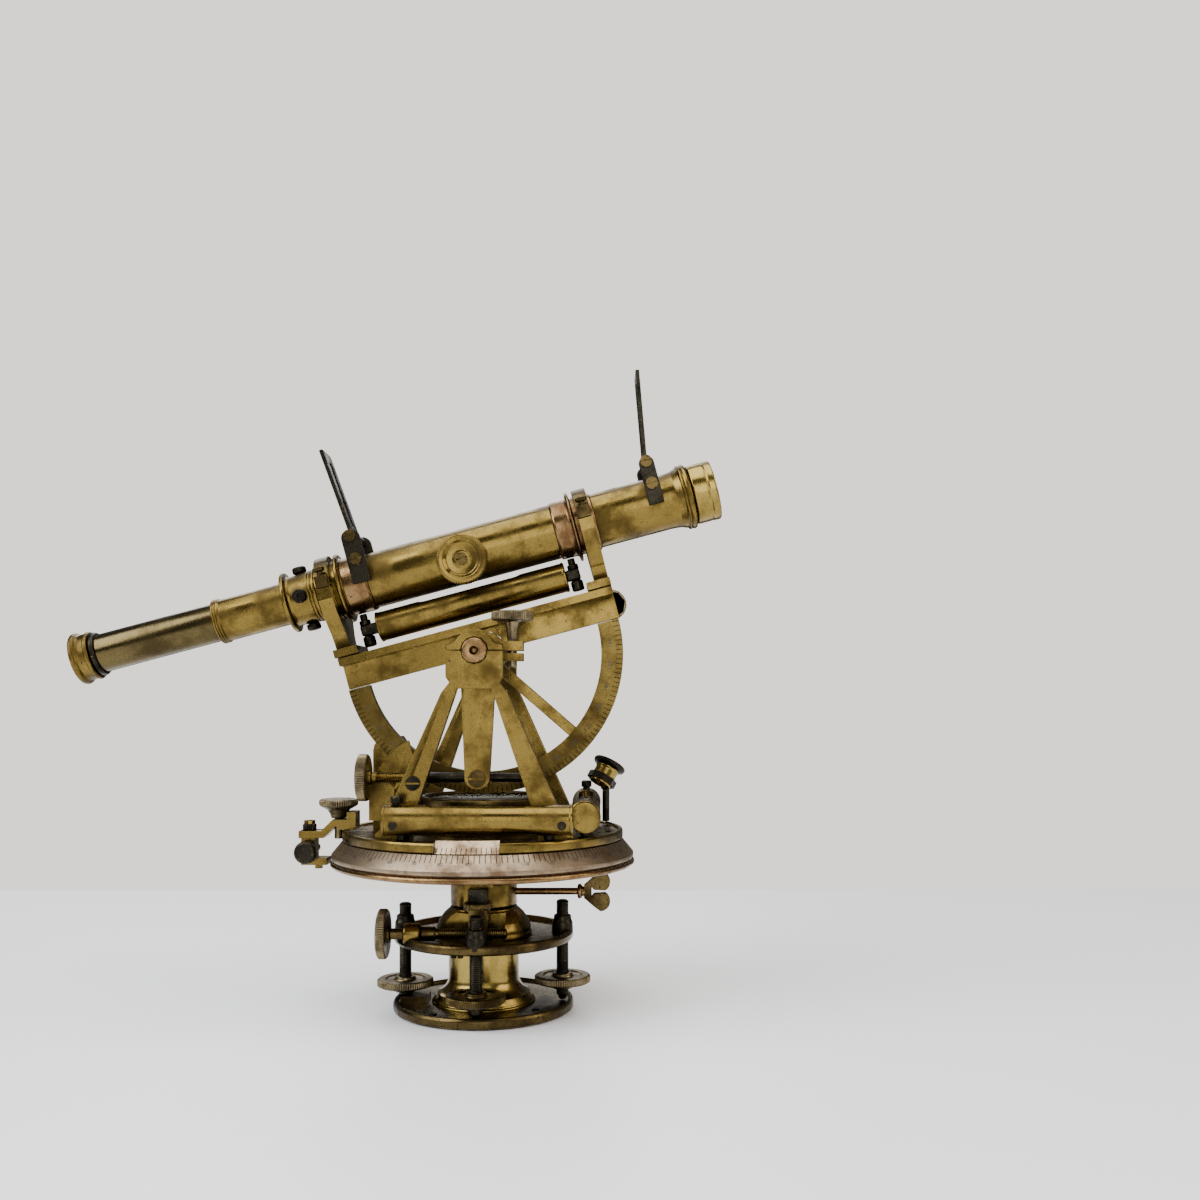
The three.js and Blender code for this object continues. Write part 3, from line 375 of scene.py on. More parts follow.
def blended(
    tree: bpy.types.NodeTree, share: bpy.types.NodeSocket, first: object, second: object
) -> bpy.types.NodeSocket:
    """Mixes two colours by a share that varies over the surface."""
    links = {"Factor": share, 6: first, 7: second}
    return add(tree, "ShaderNodeMix", links, data_type="RGBA").outputs[2]


TICK_SHARE = 0.16  # half of a division line's width over the spacing
TICK_INK = "#1E1913"


@dataclass(frozen=True)
class AgedMetal:
    """A worked metal gone brown where hands miss it.

    The eye sees a warm body colour, soft brown clouds a few millimetres across, small
    dark specks, and a coat that is duller where it is stained.
    """

    name: str
    body: str
    bright: str
    stain: str
    speck: str = "#2A2013"
    cloud_mm: float = 14.0
    speck_mm: float = 1.1
    speck_share: float = 0.66
    roughness: tuple[float, float] = (0.2, 0.46)
    grain: float = 0.06
    metallic: float = 1.0
    ticks_deg: float = 0.0
    ticks_place: Place | None = None
    ticks_span: tuple[float, float] = (0.0, 1.0)
    ticks_axis: int = 2

    def material(self) -> bpy.types.Material:
        """Builds the material's nodes.

        Returns:
            The material.
        """
        material = bpy.data.materials.new(self.name)
        material.use_nodes = True
        tree = material.node_tree
        tree.nodes.clear()
        position = add(tree, "ShaderNodeTexCoord").outputs["Object"]
        clouds = self.noise(tree, position, self.cloud_mm, 6.0)
        specks = self.noise(tree, position, self.speck_mm, 3.0)
        fine = self.noise(tree, position, 0.5, 4.0)
        patches = ramp(tree, clouds, 0.42, 0.68)
        colour = blended(tree, ramp(tree, fine, 0.3, 0.7), linear(self.body), linear(self.bright))
        colour = blended(tree, patches, colour, linear(self.stain))
        dots = ramp(tree, specks, self.speck_share, self.speck_share + 0.06)
        colour = blended(tree, dots, colour, linear(self.speck))
        if self.ticks_deg:
            colour = blended(tree, self.ticks(tree, position), colour, linear(TICK_INK))
        low, high = self.roughness
        worn = add(tree, "ShaderNodeMath", {0: patches, 1: dots}, operation="MAXIMUM").outputs[0]
        links = {"Value": worn, "To Min": low, "To Max": high}
        rough = add(tree, "ShaderNodeMapRange", links).outputs["Result"]
        relief = add(tree, "ShaderNodeMath", {0: fine, 1: specks}, operation="ADD").outputs[0]
        links = {"Strength": self.grain, "Distance": 0.0004, "Height": relief}
        normal = add(tree, "ShaderNodeBump", links).outputs["Normal"]
        links = {"Base Color": colour, "Metallic": self.metallic, "Roughness": rough, "Normal": normal}
        shader = add(tree, "ShaderNodeBsdfPrincipled", links).outputs["BSDF"]
        add(tree, "ShaderNodeOutputMaterial", {"Surface": shader})
        return material

    @staticmethod
    def noise(
        tree: bpy.types.NodeTree, position: bpy.types.NodeSocket, size_mm: float, detail: float
    ) -> bpy.types.NodeSocket:
        """Adds noise whose features are about the given size."""
        links = {"Vector": position, "Scale": 1 / (size_mm * MM), "Detail": detail, "Roughness": 0.62}
        return add(tree, "ShaderNodeTexNoise", links).outputs["Fac"]

    def ticks(self, tree: bpy.types.NodeTree, position: bpy.types.NodeSocket) -> bpy.types.NodeSocket:
        """Marks engraved divisions: thin bands of the angle about the scale's centre.

        A band is drawn where the angle over the spacing is close to a whole number, and
        where the distance from the centre lies within the scale's two radii.
        """
        centre = [value * MM for value in self.ticks_place.origin]
        moved = add(tree, "ShaderNodeVectorMath", {0: position, 1: centre}, operation="SUBTRACT").outputs[0]
        parts = add(tree, "ShaderNodeSeparateXYZ", {"Vector": moved}).outputs
        across, up = (parts[0], parts[1]) if self.ticks_axis == 2 else (parts[0], parts[2])
        angle = add(tree, "ShaderNodeMath", {0: up, 1: across}, operation="ARCTAN2").outputs[0]
        turns = {0: angle, 1: 1 / np.radians(self.ticks_deg)}
        count = add(tree, "ShaderNodeMath", turns, operation="MULTIPLY").outputs[0]
        place = add(tree, "ShaderNodeMath", {0: count, 1: 1.0}, operation="PINGPONG").outputs[0]
        line = add(tree, "ShaderNodeMath", {0: place, 1: TICK_SHARE}, operation="LESS_THAN").outputs[0]
        squares = [add(tree, "ShaderNodeMath", {0: v, 1: 2.0}, operation="POWER").outputs[0] for v in (across, up)]
        total = add(tree, "ShaderNodeMath", {0: squares[0], 1: squares[1]}, operation="ADD").outputs[0]
        reach = add(tree, "ShaderNodeMath", {0: total}, operation="SQRT").outputs[0]
        inner, outer = (value * MM for value in self.ticks_span)
        above = add(tree, "ShaderNodeMath", {0: reach, 1: inner}, operation="GREATER_THAN").outputs[0]
        below = add(tree, "ShaderNodeMath", {0: reach, 1: outer}, operation="LESS_THAN").outputs[0]
        band = add(tree, "ShaderNodeMath", {0: above, 1: below}, operation="MULTIPLY").outputs[0]
        return add(tree, "ShaderNodeMath", {0: line, 1: band}, operation="MULTIPLY").outputs[0]


@dataclass(frozen=True)
class ClearGlass:
    """Ground and polished glass, faintly green at its edges; a vial's spirit tints it."""

    name: str
    colour: str
    ior: float = 1.5
    roughness: float = 0.02

    def material(self) -> bpy.types.Material:
        """Builds the material: a clear shader with a light smear of dust in its gloss.

        Returns:
            The material.
        """
        material = bpy.data.materials.new(self.name)
        material.use_nodes = True
        tree = material.node_tree
        tree.nodes.clear()
        position = add(tree, "ShaderNodeTexCoord").outputs["Object"]
        dust = AgedMetal.noise(tree, position, 3.0, 4.0)
        links = {"Value": dust, "To Min": self.roughness, "To Max": self.roughness + 0.08}
        rough = add(tree, "ShaderNodeMapRange", links).outputs["Result"]
        links = {"Base Color": linear(self.colour), "Roughness": rough, "IOR": self.ior, "Transmission Weight": 1.0}
        shader = add(tree, "ShaderNodeBsdfPrincipled", links).outputs["BSDF"]
        add(tree, "ShaderNodeOutputMaterial", {"Surface": shader})
        return material


# Cast and turned brass under old shellac lacquer: golden, with brown clouds.
LACQUERED = AgedMetal("lacquered_brass", "#665326", "#786533", "#47391A", cloud_mm=13)
# The same brass where it was turned and handled most: bright and nearly clean.
POLISHED = AgedMetal("polished_brass", "#856F35", "#968348", "#665427", roughness=(0.18, 0.34), speck_share=0.7)
# Bare brass with brown and greenish tarnish, as on the plates that stand near the hand.
TARNISHED = AgedMetal("tarnished_brass", "#473A20", "#55482A", "#292011", roughness=(0.26, 0.52), speck_share=0.6)
# Brass that lost zinc at the surface and went pink, as on the bearing collars.
COPPERY = AgedMetal("coppery_brass", "#6C5335", "#806845", "#583F27", cloud_mm=6, roughness=(0.22, 0.42))
# Brass scale rubbed with silver chloride: pale pinkish grey, clouded.
LIMB_SCALE = AgedMetal(
    "silvered_limb_scale", "#806F59", "#92826D", "#604E3B", cloud_mm=9, roughness=(0.36, 0.52),
    ticks_deg=1.0, ticks_place=BASE, ticks_span=(51.6, 53.6),
)
VERNIER_SCALE = AgedMetal(
    "silvered_vernier_scale", "#8A7861", "#9D8C75", "#685441", cloud_mm=9, roughness=(0.22, 0.42),
    ticks_deg=0.95, ticks_place=BASE, ticks_span=(49.6, 51.4),
)
ARC_SCALE = AgedMetal(
    "divided_brass_arc", "#574822", "#67572C", "#3F3217", cloud_mm=15, roughness=(0.26, 0.48),
    ticks_deg=1.0, ticks_place=STAGE, ticks_span=(49.3, 51.6), ticks_axis=1,
)
# Bronze browned with acid: nearly black, brassy only where it rubs.
BLACKENED = AgedMetal(
    "blackened_bronze", "#211F1A", "#302C23", "#171511", speck="#7A6238", cloud_mm=7, roughness=(0.34, 0.52)
)
# Milled screw heads, dark in the furrows and worn to dull brass on the ridges.
MILLED = AgedMetal("milled_bronze", "#645A44", "#7C6E50", "#433B2C", cloud_mm=6, roughness=(0.32, 0.5))
# The draw tube's thin drawn brass, olive brown from handling.
DRAWN = AgedMetal("drawn_tube_brass", "#4A4027", "#5C5032", "#372E1B", cloud_mm=18, roughness=(0.2, 0.36))
STEEL = AgedMetal("blued_steel", "#3C4048", "#555A62", "#2A2C30", cloud_mm=5, roughness=(0.2, 0.36))
ENGRAVING = AgedMetal("engraver_wax", "#1E1913", "#2A231A", "#16120D", roughness=(0.5, 0.7), metallic=0.0)
PAPER_DIAL = AgedMetal(
    "silvered_dial", "#C4BBAE", "#D4CCC0", "#A89B8A", cloud_mm=8, roughness=(0.25, 0.4),
    ticks_deg=2.0, ticks_place=BASE, ticks_span=(16.4, 19.4),
)
WINDOW_GLASS = ClearGlass("window_glass", "#EEF2EC")
SPIRIT_GLASS = ClearGlass("spirit_vial_glass", "#D8DDB8", ior=1.36)


class Wardrobe:
    """Keeps one material for each finish."""

    def __init__(self) -> None:
        """Starts empty."""
        self.made: dict[str, bpy.types.Material] = {}

    def get(self, finish: AgedMetal | ClearGlass) -> bpy.types.Material:
        """Gives a finish's material, building it on its first use."""
        if finish.name not in self.made:
            self.made[finish.name] = finish.material()
        return self.made[finish.name]


WARDROBE = Wardrobe()


# ---------------------------------------------------------------------------
# Pieces
# ---------------------------------------------------------------------------


def body_of(node: str) -> str:
    """Names the body that a CAD node belongs to."""
    bodies = frame["record"]["behaviour"]["bodies"]
    return next(body for body, nodes in bodies.items() if node in nodes)


def tidy(mesh: bpy.types.Mesh, merge: float = 2e-6, flatten: bool = False) -> None:
    """Merges doubled points, turns the faces outwards and keeps the sharp edges sharp.

    Args:
        mesh: The mesh to clean.
        merge: How close two points are to be made one, in metres.
        flatten: Whether to merge faces that lie in one plane.
    """
    work = bmesh.new()
    work.from_mesh(mesh)
    bmesh.ops.remove_doubles(work, verts=work.verts, dist=merge)
    if flatten:
        bmesh.ops.dissolve_limit(work, angle_limit=np.radians(1.0), verts=work.verts, edges=work.edges)
    bmesh.ops.recalc_face_normals(work, faces=work.faces)
    work.to_mesh(mesh)
    work.free()
    mesh.shade_smooth()
    mesh.set_sharp_from_angle(angle=np.radians(SHARP_DEG))


def carved(thing: bpy.types.Object, cutters: list[Surface]) -> None:
    """Cuts surfaces out of an object and keeps the result in its mesh."""
    for number, cutter in enumerate(cutters):
        tool_mesh = bpy.data.meshes.new("cutter")
        tool_mesh.from_pydata((cutter.points * MM).tolist(), [], cutter.faces)
        tidy(tool_mesh)
        tool = bpy.data.objects.new(f"cutter_{number}", tool_mesh)
        bpy.context.scene.collection.objects.link(tool)
        change = thing.modifiers.new("cut", "BOOLEAN")
        change.operation, change.object, change.solver = "DIFFERENCE", tool, "EXACT"
        bpy.context.view_layer.update()
        shown = thing.evaluated_get(bpy.context.evaluated_depsgraph_get())
        result = bpy.data.meshes.new_from_object(shown)
        thing.modifiers.remove(change)
        thing.data = result
        bpy.data.objects.remove(tool)
        tidy(result)


def piece(
    name: str, surfaces: list[Surface], finish: AgedMetal | ClearGlass, node: str,
    stands_for: bool = True, cut: list[Surface] | None = None,
) -> bpy.types.Object:
    """Makes one piece from its surfaces, dresses it and lets it ride on its body.

    Args:
        name: The piece's name.
        surfaces: Its surfaces in the object's frame, in mm.
        finish: Its finish.
        node: The CAD node that it stands for, or whose body it shares.
        stands_for: Whether it takes the node's place.
        cut: Surfaces to cut out of it.

    Returns:
        The finished object.
    """
    whole = together(surfaces)
    mesh = bpy.data.meshes.new(name)
    mesh.from_pydata((whole.points * MM).tolist(), [], whole.faces)
    tidy(mesh)
    thing = bpy.data.objects.new(name, mesh)
    bpy.context.scene.collection.objects.link(thing)
    if cut:
        carved(thing, cut)
    thing.data.materials.clear()
    thing.data.materials.append(WARDROBE.get(finish))
    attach(thing, body_of(node))
    if stands_for:
        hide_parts(node)
    LOG.info("piece %s rides on %s", name, body_of(node))
    return thing


def broken_edges(
    thing: bpy.types.Object, width_mm: float, segments: int = 2, over_deg: float = 50.0
) -> bpy.types.BevelModifier:
    """Rounds the edges that turn by more than an angle, as a file does.

    Args:
        thing: The object.
        width_mm: The width of the rounding.
        segments: How many faces cross it.
        over_deg: The least angle that is rounded.

    Returns:
        The modifier that does it.
    """
    edges = thing.modifiers.new("broken_edges", "BEVEL")
    edges.width, edges.segments, edges.limit_method = width_mm * MM, segments, "ANGLE"
    edges.angle_limit = np.radians(over_deg)
    return edges


def eased(node: str, finish: AgedMetal, edge_mm: float = 0.3) -> bpy.types.Object:
    """Stands in for a CAD plate with a merged copy whose edges are broken by a file.

    Args:
        node: The CAD node.
        finish: Its finish.
        edge_mm: The width of the broken edge.

    Returns:
        The copy that stands for the node.
    """
    source = frame["nodes"][node]
    mesh = source.data.copy()
    mesh.name = f"{node}_eased"
    tidy(mesh, merge=2e-5, flatten=True)
    thing = bpy.data.objects.new(f"{node}_eased", mesh)
    bpy.context.scene.collection.objects.link(thing)
    mesh.materials.clear()
    mesh.materials.append(WARDROBE.get(finish))
    broken_edges(thing, edge_mm, over_deg=40.0).harden_normals = True
    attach(thing, body_of(node))
    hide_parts(node)
    LOG.info("piece %s rides on %s", thing.name, body_of(node))
    return thing


def dressed(node: str, finish: AgedMetal | ClearGlass) -> None:
    """Gives a CAD node that keeps its shape its finish.

    Args:
        node: The CAD node.
        finish: Its finish.
    """
    thing = frame["nodes"][node]
    thing.data.materials.clear()
    thing.data.materials.append(WARDROBE.get(finish))
    LOG.info("node %s keeps its shape", node)


def digits(
    name: str, count: int, step_deg: float, start_deg: float, size: float, node: str, slope: object
) -> bpy.types.Object:
    """Engraves a generic row of numbers round a scale as one thin mesh.

    Args:
        name: The piece's name.
        count: How many numbers there are.
        step_deg: The angle from one to the next.
        start_deg: The first one's angle.
        size: The figures' height in mm.
        node: The CAD node that carries the scale.
        slope: Takes an angle to the figure's place, as a Place in the object's frame.

    Returns:
        The finished object.
    """
    figures = []
    for number in range(count):
        curve = bpy.data.curves.new("figure", "FONT")
        curve.body, curve.size, curve.align_x, curve.align_y = str(number * 10), size, "CENTER", "CENTER"
        curve.resolution_u = 2
        text = bpy.data.objects.new("figure", curve)
        bpy.context.scene.collection.objects.link(text)
        bpy.context.view_layer.update()
        flat = text.evaluated_get(bpy.context.evaluated_depsgraph_get()).to_mesh()
        points = np.empty(len(flat.vertices) * 3)
        flat.vertices.foreach_get("co", points)
        faces = [tuple(polygon.vertices) for polygon in flat.polygons]
        angle = np.radians(start_deg + number * step_deg)
        figures.append(Surface(points.reshape(-1, 3), faces).at(slope(angle)))
        bpy.data.objects.remove(text)
        bpy.data.curves.remove(curve)
    return piece(name, figures, ENGRAVING, node, stands_for=False)


# ---------------------------------------------------------------------------
# Levelling base
# ---------------------------------------------------------------------------


@dataclass
class LevellingBase:
    """The foot plate, its trumpet, the upper plate and the four levelling screws."""

    foot_radius: float = 33.4
    head_radius: float = 33.2
    screw_circle: float = 29.3
    screw_radius: float = 2.3
    knob_radius: float = 10.4
    tangent: tuple[float, float] = (-17.5, 30.7)
    stations: dict = field(
        default_factory=lambda: {
            "left": (-1, 0, 39.0, 8.0),
            "right": (1, 0, 40.1, 9.3),
            "front": (0, -1, 39.4, 8.9),
            "rear": (0, 1, 39.6, 9.0),
        }
    )

    def build(self) -> None:
        """Builds every piece of the base."""
        self.foot()
        self.trumpet()
        self.upper_plate()
        self.sleeve()
        for side, (x, y, top, knob) in self.stations.items():
            place = BASE.shifted(x * self.screw_circle, y * self.screw_circle)
            self.screw(side, place, top)
            self.knob(side, place, knob)
        self.tangent_screw()
        dressed("levelling_ball", POLISHED)

    def foot(self) -> None:
        """Turns the foot plate with its rolled rim, and adds the slotted stop block."""
        r = self.foot_radius
        profile = [
            [0, 0], [r - 1.4, 0], [r - 0.2, 0.5], [r, 1.4], [r, 3.0], [r - 0.6, 4.0], [r - 1.2, 4.2],
            [r - 1.6, 3.7], [r - 1.8, 2.7], [9.4, 2.7], [9.4, 7.0], [7.2, 8.1], [4.2, 5.6], [0, 4.7],
        ]
        stop = brick((-30.4, -5, 2.5), (-20.5, 5, 5))
        slot = brick((-40, -2.6, 2.7), (-26.5, 2.6, 7))
        plate = turned(profile, 0.35, 128)
        piece("foot_plate_turned", [plate], TARNISHED, "foot_plate")
        piece("foot_stop", [stop], TARNISHED, "foot_plate", stands_for=False, cut=[slot])
        heads = [
            slotted_head(1.3, 0.5, 0.22).at(BASE.shifted(x, y, 2.65))
            for x, y in ((20, -14), (-16, -21), (6, -27))
        ]
        piece("foot_screws", heads, BLACKENED, "foot_plate", stands_for=False)

    def trumpet(self) -> None:
        """Turns the cup: a cylinder that flares like a bell mouth to a thin lip."""
        sweep = np.radians(np.linspace(251, 180, 14))
        flare = [[19.4 + 6.4 * np.cos(a), 12.5 + 6.6 * np.sin(a)] for a in sweep]
        socket = [[9.8 * np.cos(a), 14.5 + 9.8 * np.sin(a)] for a in np.radians(np.linspace(33, 0, 6))]
        profile = [[9.8, 2.7], [19.2, 2.7], [19.2, 3.3], [18.6, 3.7], [18.4, 4.5], *flare, [13.0, 20], [13.1, 22.6]]
        profile += [[12.9, 23.6], [12.3, 24.0], [9.3, 24.0], *socket, [9.8, 2.7]]
        piece("ball_cup_turned", [turned(profile, 0.2, 128)], POLISHED, "ball_cup")

    def upper_plate(self) -> None:
        """Turns the upper plate with its raised bevelled rim, four bosses and the bearing post."""
        r = self.head_radius
        seat = [[9.8 * np.cos(a), 14.5 + 9.8 * np.sin(a)] for a in np.radians(np.linspace(90, 52.2, 6))]
        profile = [*seat, [6, 25.5], [r - 1.6, 25.5], [r - 0.3, 26.1], [r, 27.0], [r, 28.4], [r - 0.5, 29.2]]
        profile += [[r - 1.1, 29.5], [r - 2.0, 29.3], [r - 2.8, 27.5], [0, 27.5]]
        boss = [[2.6, 27.3], [4, 27.3], [3.95, 29.8], [3.8, 31.8], [3.3, 33.0], [3.2, 34.4], [2.6, 34.7], [2.6, 27.3]]
        notch = turned([[0, -40], [2.3, -40], [2.3, -26], [0, -26]], 0, 32)
        y, z = self.tangent
        piece(
            "upper_plate_turned", [turned(profile, 0.3, 128)], TARNISHED, "upper_plate",
            cut=[notch.at(BASE.shifted(0, y, z).along(Axis.X))],
        )
        bosses = [
            turned(boss, 0.25, 48).at(BASE.shifted(x * self.screw_circle, y0 * self.screw_circle))
            for x, y0, _, _ in self.stations.values()
        ]
        piece("plate_bosses", bosses, BLACKENED, "upper_plate", stands_for=False)
        post = [[2.3, -27], [3.6, -27], [3.9, -26.4], [3.9, -21.6], [3.6, -21], [2.3, -21], [2.3, -27]]
        bearing = turned(post, 0.2, 48).at(BASE.shifted(0, y, z).along(Axis.X))
        stem = brick((-26.4, y - 2.6, 27.2), (-21.6, y + 2.6, z - 2.4))
        piece("tangent_bearing", [bearing, stem], LACQUERED, "upper_plate", stands_for=False)
        lower = [slotted_head(1.0, 0.9, 0.2).at(BASE.shifted(x, -31.0, 24.9)) for x in (-7.6, -5.2)]
        piece("plate_rim_screws", lower, BLACKENED, "upper_plate", stands_for=False)

    def sleeve(self) -> None:
        """Turns the domed drum round the vertical axis and cuts its front window."""
        profile = [
            [6.8, 27.5], [17.9, 27.5], [17.9, 28.6], [17.5, 29.2], [17.4, 30.6], [16.4, 33.2], [14.9, 35.4],
            [13.3, 36.9], [12.6, 37.3], [12.5, 38], [6.8, 38], [6.8, 27.5],
        ]
        window = brick((-20, -20, 26), (9, -9.6, 36.9))
        piece("axis_sleeve_turned", [turned(profile, 0.5, 128)], LACQUERED, "axis_sleeve", cut=[window])

    def screw(self, side: str, place: Place, top: float) -> None:
        """Turns a levelling screw: a rounded tip, a threaded shaft and a chamfered top.

        Args:
            side: The name of the leg.
            place: The foot of the leg's axis.
            top: The height of the shaft's top in mm.
        """
        r = self.screw_radius
        profile = [[0, 3.1], [0.9, 3.1], [1.5, 3.6], [1.6, 4.6], [r, 5.1], [r, top - 0.6], [1.7, top], [0, top]]
        thread = Thread(13.0, top - 1.0, 0.75, 0.18)
        piece(f"levelling_screw_{side}_turned", [turned(profile, 0.2, 40, thread=thread).at(place)],
              BLACKENED, f"levelling_screw_{side}")

    def knob(self, side: str, place: Place, low: float) -> None:
        """Turns and mills a levelling knob: a hub below, a dished face above.

        Args:
            side: The name of the leg.
            place: The foot of the leg's axis.
            low: The height of the milled rim's underside in mm.
        """
        r, top = self.knob_radius, low + 3
        profile = [
            [2.6, low - 2], [3.7, low - 2], [4.1, low - 1.4], [4.1, low - 0.2], [r - 0.9, low], [r, low + 0.5],
            [r, top - 0.5], [r - 0.7, top], [7.4, top], [6.7, top - 0.6], [4.2, top - 0.7], [3.8, top - 0.2],
            [3.7, top + 0.6], [3.2, top + 0.8], [2.6, top + 0.8], [2.6, low - 2],
        ]
        finish = TARNISHED if side == "front" else MILLED
        piece(f"levelling_knob_{side}_milled", [turned(profile, 0.25, knurl=Knurl()).at(place)],
              finish, f"levelling_knob_{side}")

    def tangent_screw(self) -> None:
        """Turns the lower tangent screw: a milled head, a stepped shaft and a threaded end."""
        y, z = self.tangent
        place = BASE.shifted(0, y, z).along(Axis.X)
        head = [
            [0, -36.2], [6.2, -36.2], [6.8, -35.8], [8, -36.2], [8.95, -35.7], [8.95, -33.3], [8.4, -32.8],
            [0, -32.8],
        ]
        shaft = [[0, -33], [3.2, -33], [3.2, -32], [2, -31.6], [2, -21], [2.6, -20.4], [2.6, -16], [1.9, -15.4]]
        shaft += [[1.9, 9.4], [1.3, 10], [0, 10]]
        piece(
            "lower_tangent_head", [turned(head, 0.2, knurl=Knurl()).at(place)], MILLED, "lower_tangent_screw"
        )
        thread = Thread(-14.5, 9.0, 0.8, 0.25)
        piece("lower_tangent_shaft", [turned(shaft, 0.15, 40, thread=thread).at(place)], TARNISHED,
              "lower_tangent_screw", stands_for=False)


# ---------------------------------------------------------------------------
# Horizontal circle and its clamp
# ---------------------------------------------------------------------------


@dataclass
class HorizontalCircle:
    """The split clamp collar, the limb, and the engraving round its bevel."""

    radius: float = 55.7
    top_radius: float = 51.6
    edge_z: float = 58.2
    top_z: float = 63.2
    figure_mm: float = 2.0

    def build(self) -> None:
        """Builds the collar, the clamp rod, the limb and its figures."""
        self.collar()
        self.wing_screw()
        self.limb()
        eased("outer_axis", LACQUERED)
        middle = (self.radius + self.top_radius) / 2 + 0.3
        height = (self.edge_z + self.top_z) / 2 - 0.3
        rise = np.arctan2(self.top_z - self.edge_z, self.radius - self.top_radius)

        def place(angle: float) -> Place:
            """Stands a figure on the bevel, its foot outwards and its back to the cone.

            Args:
                angle: The angle about the plate's axis in radians.

            Returns:
                Where the figure stands.
            """
            out = np.array([np.cos(angle), np.sin(angle), 0.0])
            along = np.array([-np.sin(angle), np.cos(angle), 0.0])
            up = np.array([0, 0, np.sin(rise)]) - out * np.cos(rise)
            normal = np.cross(along, up)
            origin = out * middle + np.array([0, 0, height]) + normal * 0.04
            return Place(tuple(origin), tuple(map(tuple, np.column_stack([along, up, normal]))))

        digits("limb_figures", 36, 10, -180, self.figure_mm, "limb_plate", place)

    def collar(self) -> None:
        """Turns the collar, cuts its front recess and adds the split block, nut and arm."""
        band = [[9.5, 38.3], [11.6, 38.3], [12.3, 38.9], [12.3, 46.9], [11.8, 47.5], [9.5, 47.5], [9.5, 38.3]]
        recess = brick((-6.4, -20, 39.3), (4.4, -10.6, 50))
        piece("clamp_collar_turned", [turned(band, 0.25, 128)], LACQUERED, "clamp_collar", cut=[recess])
        nut = turned(
            [[0, 38.4], [4.6, 38.4], [4.9, 38.8], [4.9, 41.2], [4.6, 41.6], [0, 41.6]], 0.15, knurl=Knurl(1.6, 0.35),
        )
        block = [(-4.4, -15), (2.6, -15), (2.6, -10), (-4.4, -10)]
        arm = brick((-3.6, -20.2, 27.9), (3.0, -13.8, 39.5))
        eye = turned([[0, -6], [2.4, -6], [2.4, 6], [0, 6]], 0, 32)
        # The split block takes the nearly black bronze finish. That colour is partly the block's own dark bronze and
        # partly painted shade of the set-back recess it sits in.
        piece("collar_block", [prism(block, 40.9, 46)], BLACKENED, "clamp_collar", stands_for=False)
        piece("collar_nut", [nut.at(BASE.shifted(-1, -14.9))], TARNISHED, "clamp_collar", stands_for=False)
        piece("collar_arm", [arm], TARNISHED, "clamp_collar", stands_for=False,
              cut=[eye.at(BASE.shifted(0, -17.5, 30.7).along(Axis.X))])

    def wing_screw(self) -> None:
        """Turns the clamp rod and shapes its winged head from two lobes and a waist."""
        place = BASE.shifted(0, 0, 43.2)
        rod = [
            [0, 11.4], [1.3, 11.4], [1.3, 34.8], [2.5, 35], [2.75, 35.4], [2.75, 36.2], [1.9, 36.8], [1.5, 38],
            [0, 38],
        ]
        piece("lower_clamp_rod", [turned(rod, 0.15, 40).at(place.along(Axis.X))], COPPERY, "lower_clamp_screw")
        sweep = np.radians(np.linspace(-150, 90, 22))
        lobe = np.column_stack([43.4 + 3.7 * np.cos(sweep), 3.6 + 3.7 * np.sin(sweep)])
        waist = np.array([[40.6, 5.2], [37.4, 2.4], [37, 0.0]])
        upper = np.vstack([lobe[lobe[:, 1] > 0.4], waist])
        outline = np.vstack([upper, (upper * [1, -1])[::-1][1:]])
        flat = slab(outline, -1.6, 1.6)
        wing = piece("lower_clamp_wing", [flat.at(place)], TARNISHED, "lower_clamp_screw", stands_for=False)
        broken_edges(wing, 0.7, 3)

    def limb(self) -> None:
        """Turns the limb: a brass tier, a groove, a silvered tier and the graduated bevel."""
        r = self.radius
        lower = [
            [4.2, 48], [12.6, 48], [13.6, 48.6], [14, 49.6], [14, 52.4], [15, 53.7], [r - 2, 53.7], [r - 0.3, 54.0],
            [r + 0.3, 54.5], [r + 0.4, 55.2], [r + 0.1, 55.8], [r - 0.7, 56.1], [4.2, 56.1], [4.2, 48],
        ]
        upper = [
            [4.2, 56.1], [r - 0.8, 56.1], [r - 0.5, 56.5], [r - 0.1, 56.8], [r, 57.2], [r, self.edge_z],
            [self.top_radius, self.top_z], [4.2, self.top_z], [4.2, 56.1],
        ]
        piece("limb_rim_turned", [turned(lower, 0.2, 192)], COPPERY, "limb_plate")
        piece("limb_scale_turned", [turned(upper, 0.12, 192)], LIMB_SCALE, "limb_plate", stands_for=False)


def level_case(name: str, place: Place, radius: float, ends: tuple[float, float], slot: tuple[float, float]) -> None:
    """Turns a level's tube, closes it with beaded ends and mills its round-ended slot.

    Args:
        name: The CAD node of the tube.
        place: The middle of the tube, with X along it.
        radius: Its outer radius in mm.
        ends: Where it starts and ends along X.
        slot: Where its window starts and ends along X.
    """
    low, high = ends
    wall = radius - 0.8
    tube = [
        [0, low], [radius - 0.7, low], [radius, low + 0.3], [radius, low + 1.0], [radius - 0.2, low + 1.2],
        [radius - 0.2, high - 1.2], [radius, high - 1.0], [radius, high - 0.3], [radius - 0.7, high], [0, high],
    ]
    hollow = turned([[0, low + 1.6], [wall, low + 1.6], [wall, high - 1.6], [0, high - 1.6]], 0, 48)
    sweep = np.radians(np.linspace(90, 270, 10))
    half = 2.7
    left = np.column_stack([slot[0] + half + half * np.cos(sweep), half * np.sin(sweep)])
    right = np.column_stack([slot[1] - half - half * np.cos(sweep), -half * np.sin(sweep)])
    window = prism(np.vstack([left, right]), 0, radius + 2)
    piece(
        f"{name}_case", [turned(tube, 0.12, 96).at(place.along(Axis.X))], LACQUERED, name,
        cut=[hollow.at(place.along(Axis.X)), window.at(place)],
    )


